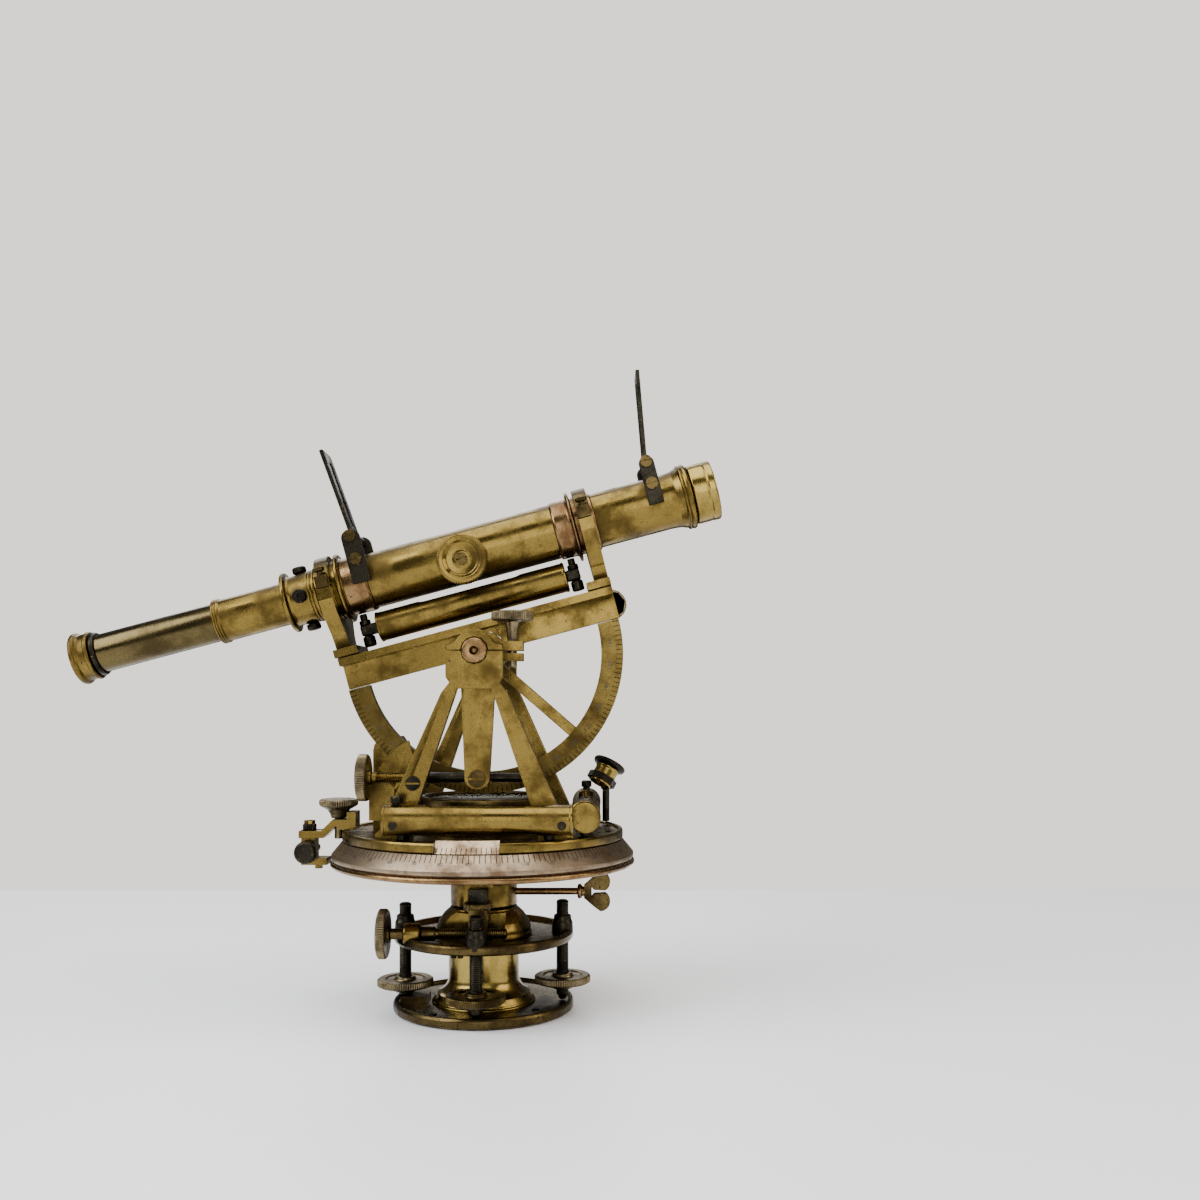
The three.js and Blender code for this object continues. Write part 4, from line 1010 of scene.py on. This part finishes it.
def level_vial(node: str, place: Place, radius: float, ends: tuple[float, float]) -> None:
    """Blows a vial: a glass tube with domed ends, and the lines that centre its bubble.

    Args:
        node: The CAD node of the vial.
        place: The middle of its tube, with X along it.
        radius: The radius of the glass in mm.
        ends: Where it starts and ends along X.
    """
    low, high = ends
    profile = [
        [0, low], [radius * 0.5, low + 0.2], [radius, low + 1.8], [radius, high - 1.8], [radius * 0.5, high - 0.2],
        [0, high],
    ]
    along = place.along(Axis.X)
    piece(f"{node}_blown", [turned(profile, 0.8, 48).at(along)], SPIRIT_GLASS, node)
    middle = (low + high) / 2
    inner, outer = radius + 0.01, radius + 0.06
    marks = [
        turned([[inner, x], [outer, x], [outer, x + 0.3], [inner, x + 0.3], [inner, x]], 0, 48)
        for x in (middle - 8, middle - 5, middle + 5, middle + 8)
    ]
    piece(f"{node}_marks", [mark.at(along) for mark in marks], ENGRAVING, node, stands_for=False)


# ---------------------------------------------------------------------------
# Alidade
# ---------------------------------------------------------------------------


@dataclass
class Alidade:
    """What turns over the limb: vernier plate, standards, levels, compass and clamps."""

    plate_radius: float = 51.8
    front_level: tuple[float, float] = (-42.0, 73.9)
    side_level: tuple[float, float] = (38.0, 74.3)
    compass_radius: float = 24.0

    def build(self) -> None:
        """Builds every piece of the alidade."""
        self.vernier_plate()
        self.standards()
        self.levels()
        self.compass()
        self.upper_clamp()
        self.microscope()
        self.vertical_clamp()
        dressed("inner_axis", STEEL)
        eased("vernier_bracket", LACQUERED, 0.4)

    def vernier_plate(self) -> None:
        """Turns the plate with its raised ring, opens the reading window and fits the vernier."""
        r = self.plate_radius
        profile = [
            [0, 63.5], [r - 0.4, 63.5], [r, 63.9], [r, 66.2], [r - 0.3, 66.9], [r - 0.9, 67.1], [r - 1.4, 67.05],
            [r - 1.9, 66.8], [r - 2.1, 66.0], [0, 66.0],
        ]
        window = brick((-12, -60, 62), (10, -44, 72))
        piece("vernier_plate_turned", [turned(profile, 0.15, 192)], LACQUERED, "vernier_plate", cut=[window])
        bevel = [[46.6, 63.5], [51.2, 63.5], [47.8, 67.6], [46.6, 67.6], [46.6, 63.5]]
        sides = [
            brick((-60, -60, 60), (-11.8, 60, 70)), brick((9.8, -60, 60), (60, 60, 70)),
            brick((-12, -30, 60), (12, 60, 70)),
        ]
        piece("front_vernier_turned", [turned(bevel, 0.05, 256)], VERNIER_SCALE, "front_vernier", cut=sides)

    def standards(self) -> None:
        """Files the edges of both standards and caps, and sets their screws."""
        bush = front_head(2.5, 0.9, 0.3, BASE.shifted(-21, -36, 85.9))
        piece("tangent_bush_screw", [bush], BLACKENED, "front_standard", stands_for=False)
        for side, facing in (("front", -1), ("rear", 1)):
            eased(f"{side}_standard", LACQUERED, 0.35)
            eased(f"{side}_bearing_cap", LACQUERED, 0.35)
            rims = []
            for x in (-28.0, 28.0):
                rims.append(slotted_head(2.0, 1.0, 0.25).at(BASE.shifted(x, facing * 29.0, 68.4)))
            piece(f"{side}_foot_screws", rims, BLACKENED, f"{side}_standard", stands_for=False)
            tops = [slotted_head(1.5, 0.9, 0.22).at(BASE.shifted(x, facing * 33.0, 133.0)) for x in (-8.4, 8.4)]
            piece(f"{side}_cap_screws", tops, BLACKENED, f"{side}_bearing_cap", stands_for=False)

    def levels(self) -> None:
        """Builds the two plate levels with their posts and capstan screws."""
        y, z = self.front_level
        front = BASE.shifted(0, y, z)
        level_case("front_level", front, 5.4, (-30.2, 34.3), (-16, 20))
        level_vial("front_vial", front, 4.1, (-27.5, 31.6))
        post = turned([[0, 66], [2.4, 66], [2.4, 66.8], [1.8, 67.2], [1.8, 69.3], [0, 69.3]], 0.15, 32)
        capstan = turned([[0, 79], [1.2, 79], [1.2, 79.6], [1.8, 79.8], [1.9, 81.4], [1.5, 82], [0, 82]], 0.15, 32)
        fittings = [
            post.at(BASE.shifted(-24, -40)), post.at(BASE.shifted(26, -40)), capstan.at(BASE.shifted(-25.7, y)),
        ]
        piece("front_level_posts", fittings, BLACKENED, "front_level", stands_for=False)
        screws = [front_head(1.5, 0.5, 0.2, BASE.shifted(x, y - 5.0, z - 1.4)) for x in (-26, 30.5)]
        piece("front_level_screws", screws, BLACKENED, "front_level", stands_for=False)
        x, z = self.side_level
        quarter = Place((x, 0.0, z), ((0, -1, 0), (1, 0, 0), (0, 0, 1)))
        level_case("side_level", quarter, 5.6, (-36, 28), (-22, 16))
        level_vial("side_vial", quarter, 4.3, (-33.4, 25.4))
        stem = turned([[0, 79.4], [1.4, 79.4], [1.4, 80.4], [2, 80.6], [2, 82.6], [1.6, 83], [0, 83]], 0.15, 32)
        posts = [post.at(BASE.shifted(x, -27)), post.at(BASE.shifted(x, 22)), stem.at(BASE.shifted(x, 23))]
        piece("side_level_posts", posts, BLACKENED, "side_level", stands_for=False)

    def compass(self) -> None:
        """Turns the compass box with its bezel, lays its divided dial and sets the glass."""
        r = self.compass_radius
        box = [
            [0, 66], [r - 0.6, 66], [r - 0.6, 67], [r - 1.4, 67.6], [r - 1.4, 74.4], [r - 0.6, 75.6], [r, 76.4],
            [r, 78.4], [r - 0.5, 79.0], [r - 1.1, 79.2], [21.9, 79.2], [21.4, 78.6], [21.4, 76.5], [20, 76.5],
            [20, 69], [1, 69], [0.4, 73], [0, 73.1],
        ]
        piece("compass_box_turned", [turned(box, 0.2, 128)], TARNISHED, "compass_box")
        dial = [[1.2, 69.02], [19.8, 69.02], [19.8, 69.4], [1.2, 69.4], [1.2, 69.02]]
        piece("compass_dial", [turned(dial, 0.05, 96)], PAPER_DIAL, "compass_box", stands_for=False)
        glass = [[0, 76.8], [20.8, 76.8], [21, 77], [21, 77.8], [20.8, 78], [0, 78]]
        piece("compass_glass_ground", [turned(glass, 0.1, 96)], WINDOW_GLASS, "compass_glass")
        eased("compass_needle", STEEL, 0.1)

    def upper_clamp(self) -> None:
        """Files the clamp's strap and turns its domed screw, its studs and the tangent screw."""
        eased("upper_clamp_lug", LACQUERED, 0.3)
        head = [
            [0, 63.5], [1.5, 63.5], [1.5, 71.1], [2.7, 71.1], [3.2, 72.6], [4.2, 74.2], [6.4, 75.4], [7.1, 76.0],
            [7.1, 77.5], [6.6, 78.0], [4.6, 78.3], [3.8, 78.0], [1.4, 78.1], [0, 78.4],
        ]
        place = BASE.shifted(-53.1, -5)
        piece("upper_clamp_screw_milled", [turned(head, 0.2, knurl=Knurl()).at(place)], MILLED, "upper_clamp_screw")
        tangent = [
            [0, -13], [3.2, -13], [3.6, -12.8], [4.2, -12.3], [4.2, -10.2], [3.6, -9.7], [2.2, -9.4], [1.6, -8.8],
            [1.6, 5.6], [0, 6],
        ]
        aside = BASE.shifted(-63.8, 0, 59).along(Axis.Y)
        piece(
            "upper_tangent_screw_milled", [turned(tangent, 0.15, knurl=Knurl(0.8, 0.2)).at(aside)], BLACKENED,
            "upper_tangent_screw",
        )
        nut = turned(
            [[0, 66.6], [2.3, 66.6], [2.5, 67], [2.5, 68.6], [2.2, 69], [1.2, 69.2], [1.1, 70.2], [0, 70.2]], 0.12,
            knurl=Knurl(0.7, 0.2),
        )
        piece("clamp_strap_nut", [nut.at(BASE.shifted(-63.8, -5))], BLACKENED, "upper_clamp_lug", stands_for=False)

    def microscope(self) -> None:
        """Turns the reading magnifier: a brass barrel and a blackened eyecup."""
        sight = np.array([0.45, 0.3, 0.84])
        sight /= np.linalg.norm(sight)
        side = np.cross([0, 1, 0], sight)
        side /= np.linalg.norm(side)
        place = Place((45.5, 18.0, 86.5), tuple(map(tuple, np.column_stack([side, np.cross(sight, side), sight]))))
        barrel = [[3.4, -5.2], [4.2, -5.2], [4.4, -4.8], [4.4, 0.8], [4.8, 1.4], [4.8, 2.2], [3.4, 2.2], [3.4, -5.2]]
        cup = [
            [3.0, 1.6], [4.9, 1.6], [6.2, 2.5], [6.45, 3.0], [6.45, 3.8], [6.1, 4.2], [5.4, 4.0], [3.0, 2.6],
            [3.0, 1.6],
        ]
        lens = [[0, -3.2], [2, -3.0], [3.3, -2.4], [3.3, -1.8], [0, -1.2]]
        piece("microscope_barrel_turned", [turned(barrel, 0.15, 64).at(place)], POLISHED, "microscope_barrel")
        piece("microscope_eyecup", [turned(cup, 0.2, 64).at(place)], BLACKENED, "microscope_barrel", stands_for=False)
        piece(
            "microscope_lens", [turned(lens, 0.2, 48).at(place)], WINDOW_GLASS, "microscope_barrel", stands_for=False,
        )
        eased("microscope_arm", BLACKENED, 0.2)

    def vertical_clamp(self) -> None:
        """Files the clamp arm and turns its two screws."""
        eased("vertical_clamp_arm", LACQUERED, 0.35)
        head = [
            [0, 126], [1.3, 126], [1.7, 126.5], [1.7, 136], [1.9, 137], [2.3, 140.6], [2.8, 142.4], [3.6, 142.9],
            [7.0, 142.9], [7.5, 143.4], [7.5, 145.7], [7, 146.2], [5.4, 146.2], [4.8, 145.7], [1.6, 145.7],
            [0, 145.7],
        ]
        place = BASE.shifted(12, -19.7)
        piece(
            "vertical_clamp_screw_milled", [turned(head, 0.2, knurl=Knurl()).at(place)], MILLED,
            "vertical_clamp_screw",
        )
        along = BASE.shifted(0, -14.5, 86.5).along(Axis.X)
        head = [[0, -44], [5.8, -44], [6.4, -43.5], [7.6, -44], [8.5, -43.5], [8.5, -40.7], [8, -40.2], [0, -40.2]]
        piece("vertical_tangent_head", [turned(head, 0.2, knurl=Knurl()).at(along)], MILLED, "vertical_tangent_screw")
        sleeve = [[0, -41], [2.7, -41], [2.7, -39.2], [1.95, -38.8], [1.95, -23.8], [0, -23.8]]
        thread = Thread(-37.5, -24.6, 0.8, 0.3)
        piece("vertical_tangent_sleeve", [turned(sleeve, 0.12, 40, thread=thread).at(along)], LACQUERED,
              "vertical_tangent_screw", stands_for=False)
        spindle = [[0, -24], [1.9, -24], [1.9, 2], [1.7, 3], [1.7, 15], [1.3, 15.4], [0, 15.4]]
        piece("vertical_tangent_spindle", [turned(spindle, 0.12, 40).at(along)], BLACKENED,
              "vertical_tangent_screw", stands_for=False)
        big = front_head(3.1, 1.1, 0.4, BASE.shifted(-0.4, -21.7, 86.5))
        piece("clamp_arm_screw", [big], TARNISHED, "vertical_clamp_arm", stands_for=False)


# ---------------------------------------------------------------------------
# Elevating part
# ---------------------------------------------------------------------------


@dataclass
class ElevatingPart:
    """The trunnion, the divided arc, the stage bar and the wyes with their clips."""

    arc_outer: float = 51.9
    arc_inner: float = 43.8
    half_thickness: float = 2.2
    hub_radius: float = 8.5

    def build(self) -> None:
        """Builds every piece that tips with the trunnion, apart from the telescope."""
        self.axle()
        self.arc()
        eased("stage_bar", LACQUERED, 0.3)
        for side in ("left", "right"):
            eased(f"{side}_wye", LACQUERED, 0.35)
            eased(f"{side}_clip", TARNISHED, 0.25)

    def axle(self) -> None:
        """Turns the trunnion, with a countersunk centre in each end."""
        half = [[0, 33.8], [1.0, 34.2], [1.3, 35.4], [1.6, 36.3], [4.0, 36.3], [4.4, 35.9]]
        profile = half + [[radius, -height] for radius, height in half][::-1]
        piece("trunnion_axle_turned", [turned(profile, 0.15, 64).at(STAGE.along(Axis.Y))], COPPERY, "trunnion_axle")

    def arc(self) -> None:
        """Cuts the divided half circle, its hub and its two spokes, and engraves its figures."""
        t = self.half_thickness
        around = STAGE.along(Axis.Y)
        ring = [
            [self.arc_inner, -t], [self.arc_outer, -t], [self.arc_outer, t], [self.arc_inner, t], [self.arc_inner, -t]
        ]
        upper = brick((-60, -6, -0.15), (60, 6, 60)).at(STAGE)
        piece("vertical_arc_rim", [turned(ring, 0.25, 240).at(around)], ARC_SCALE, "vertical_arc", cut=[upper])
        hub = [[4.7, -t], [self.hub_radius, -t], [self.hub_radius, t], [4.7, t], [4.7, -t]]
        spokes = []
        for angle in np.radians([56, 124]):
            axes = ((np.cos(angle), 0, np.sin(angle)), (0, 1, 0), (-np.sin(angle), 0, np.cos(angle)))
            bar = brick((self.hub_radius - 1.5, -t * 0.7, -2), (self.arc_inner + 1, t * 0.7, 2))
            spokes.append(bar.at(Place((0, 0, 0), axes)).at(STAGE))
        made = piece(
            "vertical_arc_spokes", [turned(hub, 0.2, 96).at(around), *spokes], LACQUERED, "vertical_arc",
            stands_for=False,
        )
        broken_edges(made, 0.25)

        def place(angle: float) -> Place:
            """Lays a figure on the arc's front face, its head towards the hub.

            Args:
                angle: The angle about the hub in radians.

            Returns:
                Where the figure lies.
            """
            out = np.array([np.cos(angle), 0.0, np.sin(angle)])
            middle = (self.arc_inner + self.arc_outer) / 2 - 0.6
            axes = np.column_stack([[-out[2], 0.0, out[0]], -out, [0.0, -1.0, 0.0]])
            local = Place(tuple(out * middle + np.array([0, -t - 0.03, 0])), tuple(map(tuple, axes)))
            return Place(tuple(STAGE.world(np.array(local.origin))), tuple(map(tuple, np.asarray(STAGE.axes) @ axes)))

        digits("arc_figures", 17, 10, -170, 2.4, "vertical_arc", place)
        head = [[0, 3], [5.3, 3], [5.8, 3.4], [5.8, 6.2], [5.3, 6.6], [0, 6.6]]
        milled = turned(head, 0.15, knurl=Knurl()).at(STAGE.shifted(50.8, 0, 5.8).along(Axis.Y))
        piece("bar_end_screw", [milled], MILLED, "stage_bar", stands_for=False)


# ---------------------------------------------------------------------------
# Telescope
# ---------------------------------------------------------------------------


@dataclass
class Telescope:
    """The tube in its wyes, its focusing parts, its level and its folding sights."""

    tube: float = 10.15
    collar: float = 10.8
    level_w: float = -17.3

    def build(self) -> None:
        """Builds every piece of the telescope."""
        self.main_tube()
        self.eyepiece_end()
        self.objective_end()
        self.focus()
        self.level()
        self.sights()

    def spun(self, name: str, profile: list, finish: AgedMetal, node: str, stands_for: bool = True,
             soft: float = 0.2, knurl: Knurl | None = None, thread: Thread | None = None) -> None:
        """Turns one piece about the telescope's axis."""
        surface = turned(profile, soft, 128, knurl, thread).at(TELESCOPE.along(Axis.X))
        piece(name, [surface], finish, node, stands_for)

    def main_tube(self) -> None:
        """Turns the body tube, its pink bearing collars, its rings and its ogee mouth."""
        t, c = self.tube, self.collar
        body = [
            [9.05, -52.6], [c - 0.3, -52.6], [c, -52.2], [c, -44.6], [12.6, -44.3], [13, -44.0], [13, -43.3],
            [12.5, -42.9], [c + 0.2, -42.8], [c, -42.4], [9.05, -42.4], [9.05, -52.6],
        ]
        self.spun("left_collar_ring", body, LACQUERED, "main_tube")
        self.spun("left_collar",
                  [[9.05, -42.4], [c, -42.4], [c, -34.2], [c - 0.5, -33.4], [9.05, -33.4], [9.05, -42.4]],
                  COPPERY, "main_tube", False)
        middle = [[9.05, -33.4], [t, -33.3], [t, 37.4], [9.05, 37.4], [9.05, -33.4]]
        self.spun("body_tube", middle, LACQUERED, "main_tube", False)
        right = [
            [9.05, 37.4], [t + 0.1, 37.4], [t + 0.5, 37.8], [c, 38.2], [c, 43.2], [c + 0.5, 43.9], [12.6, 44.1],
            [13.1, 44.4], [13.1, 44.9], [12.6, 45.2], [c, 45.4], [c, 52.6], [c - 0.3, 53], [9.05, 53], [9.05, 37.4],
        ]
        self.spun("right_collar", right, COPPERY, "main_tube", False)
        mouth = [
            [9.05, 53], [t, 53], [t, 80], [t + 0.15, 82], [10.5, 83.8], [11.1, 85.4], [11.4, 86.2], [11.9, 86.5],
            [12.1, 86.9], [11.9, 87.3], [11.6, 87.5], [11.9, 87.7], [12.1, 88.2], [12.1, 88.8], [11.8, 89.3],
            [11.2, 89.6], [9.05, 89.6], [9.05, 53],
        ]
        self.spun("tube_mouth", mouth, LACQUERED, "main_tube", False)
        boss = [[1.9, -11.7], [4.0, -11.7], [4.4, -11.3], [4.6, -9.4], [1.9, -9.4], [1.9, -11.7]]
        piece("focus_boss", [turned(boss, 0.15, 64).at(TELESCOPE.shifted(2.5, 0, -3).along(Axis.Y))],
              LACQUERED, "main_tube", stands_for=False)

    def eyepiece_end(self) -> None:
        """Turns the reticle housing, its capstan screws, the draw tube and the eyepiece cap."""
        housing = [
            [7.45, -66], [7.9, -66], [8.2, -65.4], [10.9, -65.3], [11.3, -64.9], [11.3, -64.0], [10.9, -63.7],
            [9.4, -63.5], [9.2, -62.6], [9.5, -58], [9.6, -55.6], [9.3, -55.3], [9.75, -55.0], [9.75, -54.4],
            [9.4, -54.1], [9.75, -53.8], [9.75, -52.9], [7.45, -52.9], [7.45, -66],
        ]
        self.spun("reticle_housing_turned", housing, LACQUERED, "reticle_housing")
        neck = [
            [7.45, -92.6], [8.0, -92.6], [8.35, -92.3], [8.4, -92.0], [8.05, -91.7], [8.4, -91.4], [8.4, -91.1],
            [8.05, -90.8], [8.4, -90.5], [8.3, -90.0], [7.9, -89.6], [7.85, -66], [7.45, -66], [7.45, -92.6],
        ]
        self.spun("neck_tube", neck, LACQUERED, "reticle_housing", False, soft=0.1)
        capstan = [
            [0, 8.6], [1.5, 8.8], [1.5, 9.5], [2.3, 9.7], [2.6, 10.0], [2.6, 11.5], [2.2, 12.0], [0.8, 12.0],
            [0.7, 10.8], [0, 10.8],
        ]
        for number, turn in enumerate(np.radians([0, 90, 180])):
            axes = ((1, 0, 0), (0, np.cos(turn), -np.sin(turn)), (0, np.sin(turn), np.cos(turn)))
            place = Place(
                tuple(TELESCOPE.world(np.array([-58.5, 0, 0]))), tuple(map(tuple, np.asarray(TELESCOPE.axes) @ axes)),
            )
            piece(
                f"capstan_screw_{number}", [turned(capstan, 0.12, 40).at(place)], BLACKENED, "reticle_housing",
                stands_for=False,
            )
        draw = [[6.3, -137.4], [7.15, -137.4], [7.15, -76], [6.3, -76], [6.3, -137.4]]
        self.spun("draw_tube", draw, DRAWN, "eyepiece_tube")
        joint = [
            [6.3, -139.2], [7.9, -139.2], [8.2, -138.8], [8.2, -138.0], [7.8, -137.4], [6.3, -137.4], [6.3, -139.2],
        ]
        self.spun("draw_tube_ring", joint, BLACKENED, "eyepiece_tube", False)
        cap = [
            [2.4, -145.4], [3.4, -146.2], [8.8, -146.4], [9.5, -146.2], [9.75, -145.6], [9.75, -144.9], [9.3, -144.2],
            [8.8, -143.8], [8.6, -142.9], [8.7, -141.0], [9.1, -140.6], [9.1, -140.1], [8.7, -139.5], [2.4, -139.5],
            [2.4, -145.4],
        ]
        self.spun("eyepiece_cap_turned", cap, LACQUERED, "eyepiece_cap")
        self.spun(
            "eye_lens", [[0, -142.6], [2.3, -142.2], [2.35, -140.8], [0, -140.4]], WINDOW_GLASS, "eyepiece_cap",
            False,
        )
        eased("reticle", BLACKENED, 0.05)

    def objective_end(self) -> None:
        """Turns the sunshade with its rolled edge and grinds the objective."""
        shade = [
            [7.9, 42], [8.7, 42], [8.7, 89.9], [10.6, 90.0], [11, 90.4], [11, 95.4], [10.75, 95.8], [11.1, 96.2],
            [11.1, 98.2], [10.9, 98.7], [10.5, 98.9], [10.2, 98.5], [10.1, 92], [7.9, 92], [7.9, 42],
        ]
        self.spun("sunshade_turned", shade, POLISHED, "sunshade")
        curve = [[7.6 * s, 86.4 + 1.4 * s * s] for s in np.linspace(0, 1, 8)]
        back = [[7.6 * s, 91 - 1.4 * s * s] for s in np.linspace(1, 0, 8)]
        self.spun("objective_ground", curve + back, WINDOW_GLASS, "objective_lens", soft=0.05)

    def focus(self) -> None:
        """Turns the dished focusing head with its milled rim and its centre screw."""
        profile = [
            [0, -16.4], [2.8, -16.4], [3.4, -16.2], [5.6, -16.5], [6.2, -16.9], [6.9, -17.5], [8.4, -17.6],
            [9.2, -17.1], [9.2, -13.4], [8.6, -12.8], [4.6, -12.4], [3.6, -12.2], [1.6, -12.2], [1.6, -9.4],
            [0, -9.4],
        ]
        place = TELESCOPE.shifted(2.5, 0, -3).along(Axis.Y)
        piece("focus_knob_milled", [turned(profile, 0.25, knurl=Knurl(0.9, 0.22)).at(place)], LACQUERED, "focus_knob")
        screw = front_head(2.2, 1.6, 0.3, TELESCOPE.shifted(2.5, -16.5, -3))
        piece("focus_screw", [screw], TARNISHED, "focus_knob", stands_for=False)

    def level(self) -> None:
        """Builds the level slung under the tube, its lugs and its capstan posts."""
        place = TELESCOPE.shifted(0, 0, self.level_w)
        level_case("telescope_level", place, 5.65, (-35.4, 37.3), (-19, 21))
        level_vial("telescope_vial", place, 4.3, (-32.6, 34.6))
        post = [
            [0, -23.5], [1.9, -23.5], [2.3, -23.1], [2.3, -20.1], [1.9, -19.6], [1.4, -19.4], [1.4, -15.4],
            [2.1, -15.2],
            [2.1, -13.6], [1.4, -13.4], [1.4, -11.2], [0, -11.2],
        ]
        posts = [turned(post, 0.15, 32).at(TELESCOPE.shifted(u)) for u in (-39.8, 40.4)]
        piece("level_posts", posts, BLACKENED, "telescope_level", stands_for=False)
        lugs = [brick((-41.8, -2.4, -19.3), (-35.2, 2.4, -15.3)), brick((37.1, -2.4, -19.3), (42.4, 2.4, -15.3))]
        made = piece(
            "level_lugs", [lug.at(TELESCOPE) for lug in lugs], BLACKENED, "telescope_level", stands_for=False,
        )
        broken_edges(made, 0.6, 3, over_deg=30.0)

    def sights(self) -> None:
        """Builds both folding sights, the ears that carry them, their screws and the hair."""
        for name, u, pivot, half in (("rear", -35.0, 16.3, 3.4), ("front", 76.0, 14.6, 2.8)):
            eased(f"{name}_sight", BLACKENED, 0.2)
            sweep = np.radians(np.linspace(0, 180, 13))
            tops = np.column_stack([u + half * np.cos(sweep), pivot - 0.6 + half * 0.9 * np.sin(sweep)])
            outline = np.vstack([[[u - half, -1.2], [u + half, -1.2]], tops])
            ears = []
            for low in (-11.9, 10.2):
                ears.append(slab(outline, low, low + 1.7).at(TELESCOPE))
            made = piece(f"{name}_sight_ears", ears, BLACKENED, "main_tube", stands_for=False)
            broken_edges(made, 0.25)
            lower = 7.7 if name == "rear" else 6.3
            heads = [front_head(2.2, 1.1, 0.28, TELESCOPE.shifted(u, -11.8, w)) for w in (lower, pivot)]
            piece(f"{name}_sight_screws", heads, TARNISHED, "main_tube", stands_for=False)
        lean = np.radians(10)
        axes = np.asarray(TELESCOPE.axes) @ np.array(
            [[np.cos(lean), 0, np.sin(lean)], [0, 1, 0], [-np.sin(lean), 0, np.cos(lean)]],
        )
        leaf = Place(tuple(TELESCOPE.world(np.array([76.0, 0, 14.6]))), tuple(map(tuple, axes)))
        hair = turned([[0, 4.6], [0.14, 4.6], [0.14, 31.2], [0, 31.2]], 0, 8)
        piece("front_sight_hair", [hair.at(leaf)], BLACKENED, "front_sight", stands_for=False)


# ---------------------------------------------------------------------------
# Studio
# ---------------------------------------------------------------------------


@dataclass
class Studio:
    """A pale table in a pale room, soft light, and the camera in front."""

    camera_at: tuple[float, float, float] = (43.3, -447.8, 114.9)
    shift_up: float = 0.0825
    table_back: float = 274.0
    table_reach: float = 4000.0
    dim: float = 0.3
    pale: float = 2.1

    def build(self) -> None:
        """Builds the table, the room, the lights and the camera."""
        b, r = self.table_back, self.table_reach
        self.sheet("table", [(-r, -r, -0.05), (r, -r, -0.05), (r, b, -0.05), (-r, b, -0.05)], "#F4F5F6", 0.34)
        self.lamp("window_left", (-1300, -700, 1100), (60, 0, 120), 1.3, 46.0, "#F4F7FF")
        self.lamp("window_right", (1500, -500, 900), (0, 0, 120), 1.1, 18.0, "#FFF4E6")
        self.lamp("ceiling", (0, -250, 1700), (0, 0, 0), 1.6, 40.0, "#FFFFFF")
        self.lamp("window_behind", (-300, 1500, 1300), (0, 0, 120), 1.4, 16.0, "#FFFFFF")
        self.lamp("front_fill", (200, -1600, 500), (0, 0, 120), 0.9, 10.0, "#FFFFFF")
        world = bpy.data.worlds.new("room")
        world.use_nodes = True
        tree = world.node_tree
        tree.nodes.clear()
        straight = add(tree, "ShaderNodeLightPath").outputs["Is Camera Ray"]
        dim = add(tree, "ShaderNodeBackground", {"Color": linear("#A9A59C"), "Strength": self.dim}).outputs[0]
        pale = add(tree, "ShaderNodeBackground", {"Color": linear("#DCD8D0"), "Strength": self.pale}).outputs[0]
        seen = add(tree, "ShaderNodeMixShader", {0: straight, 1: dim, 2: pale}).outputs[0]
        add(tree, "ShaderNodeOutputWorld", {"Surface": seen})
        bpy.context.scene.world = world
        self.camera()

    def sheet(self, name: str, corners: list, colour: str, roughness: float) -> None:
        """Lays one flat sheet of the set with a faintly uneven paint.

        Args:
            name: The name of the sheet.
            corners: Its corners in mm.
            colour: Its colour as #RRGGBB.
            roughness: How dull it is.
        """
        mesh = bpy.data.meshes.new(name)
        mesh.from_pydata((np.array(corners) * MM).tolist(), [], [(0, 1, 2, 3)])
        thing = bpy.data.objects.new(name, mesh)
        bpy.context.scene.collection.objects.link(thing)
        material = bpy.data.materials.new(f"{name}_paint")
        material.use_nodes = True
        tree = material.node_tree
        position = add(tree, "ShaderNodeTexCoord").outputs["Object"]
        cloud = AgedMetal.noise(tree, position, 260.0, 3.0)
        shader = tree.nodes["Principled BSDF"]
        links = {"Value": cloud, "To Min": roughness - 0.03, "To Max": roughness + 0.05}
        tree.links.new(add(tree, "ShaderNodeMapRange", links).outputs["Result"], shader.inputs["Roughness"])
        shader.inputs["Base Color"].default_value = linear(colour)
        mesh.materials.append(material)

    def lamp(self, name: str, at: tuple, towards: tuple, size: float, watts: float, colour: str) -> None:
        """Hangs one soft square lamp.

        Args:
            name: The name of the lamp.
            at: Where it hangs, in mm.
            towards: What it points at.
            size: The length of its side in metres.
            watts: Its power.
            colour: Its colour as #RRGGBB.
        """
        data = bpy.data.lights.new(name, "AREA")
        data.shape, data.size, data.energy, data.color = "SQUARE", size, watts, linear(colour)[:3]
        lamp = bpy.data.objects.new(name, data)
        bpy.context.scene.collection.objects.link(lamp)
        here, there = np.array(at) * MM, np.array(towards) * MM
        back = (here - there) / np.linalg.norm(here - there)
        right = np.cross([0, 0, 1], back)
        right = right / np.linalg.norm(right) if np.linalg.norm(right) > 1e-6 else np.array([1.0, 0, 0])
        turn = np.eye(4)
        turn[:3, :3] = np.column_stack([right, np.cross(back, right), back])
        turn[:3, 3] = here
        lamp.matrix_world = Matrix(turn.tolist())

    def camera(self) -> None:
        """Sets the camera level, with the lens shifted up."""
        data = bpy.data.cameras.new("camera")
        data.lens, data.sensor_width, data.shift_y = 36.0, 36.0, self.shift_up
        data.clip_start = 0.01
        camera = bpy.data.objects.new("camera", data)
        bpy.context.scene.collection.objects.link(camera)
        camera.location = [value * MM for value in self.camera_at]
        camera.rotation_euler = (np.pi / 2, 0, 0)
        bpy.context.scene.camera = camera


def main() -> None:
    """Builds the instrument and its studio."""
    logging.basicConfig(level=logging.INFO)
    for assembly in (LevellingBase(), HorizontalCircle(), Alidade(), ElevatingPart(), Telescope(), Studio()):
        LOG.info("building %s", type(assembly).__name__)
        assembly.build()
    bpy.context.view_layer.update()


if __name__ == "__main__":
    main()
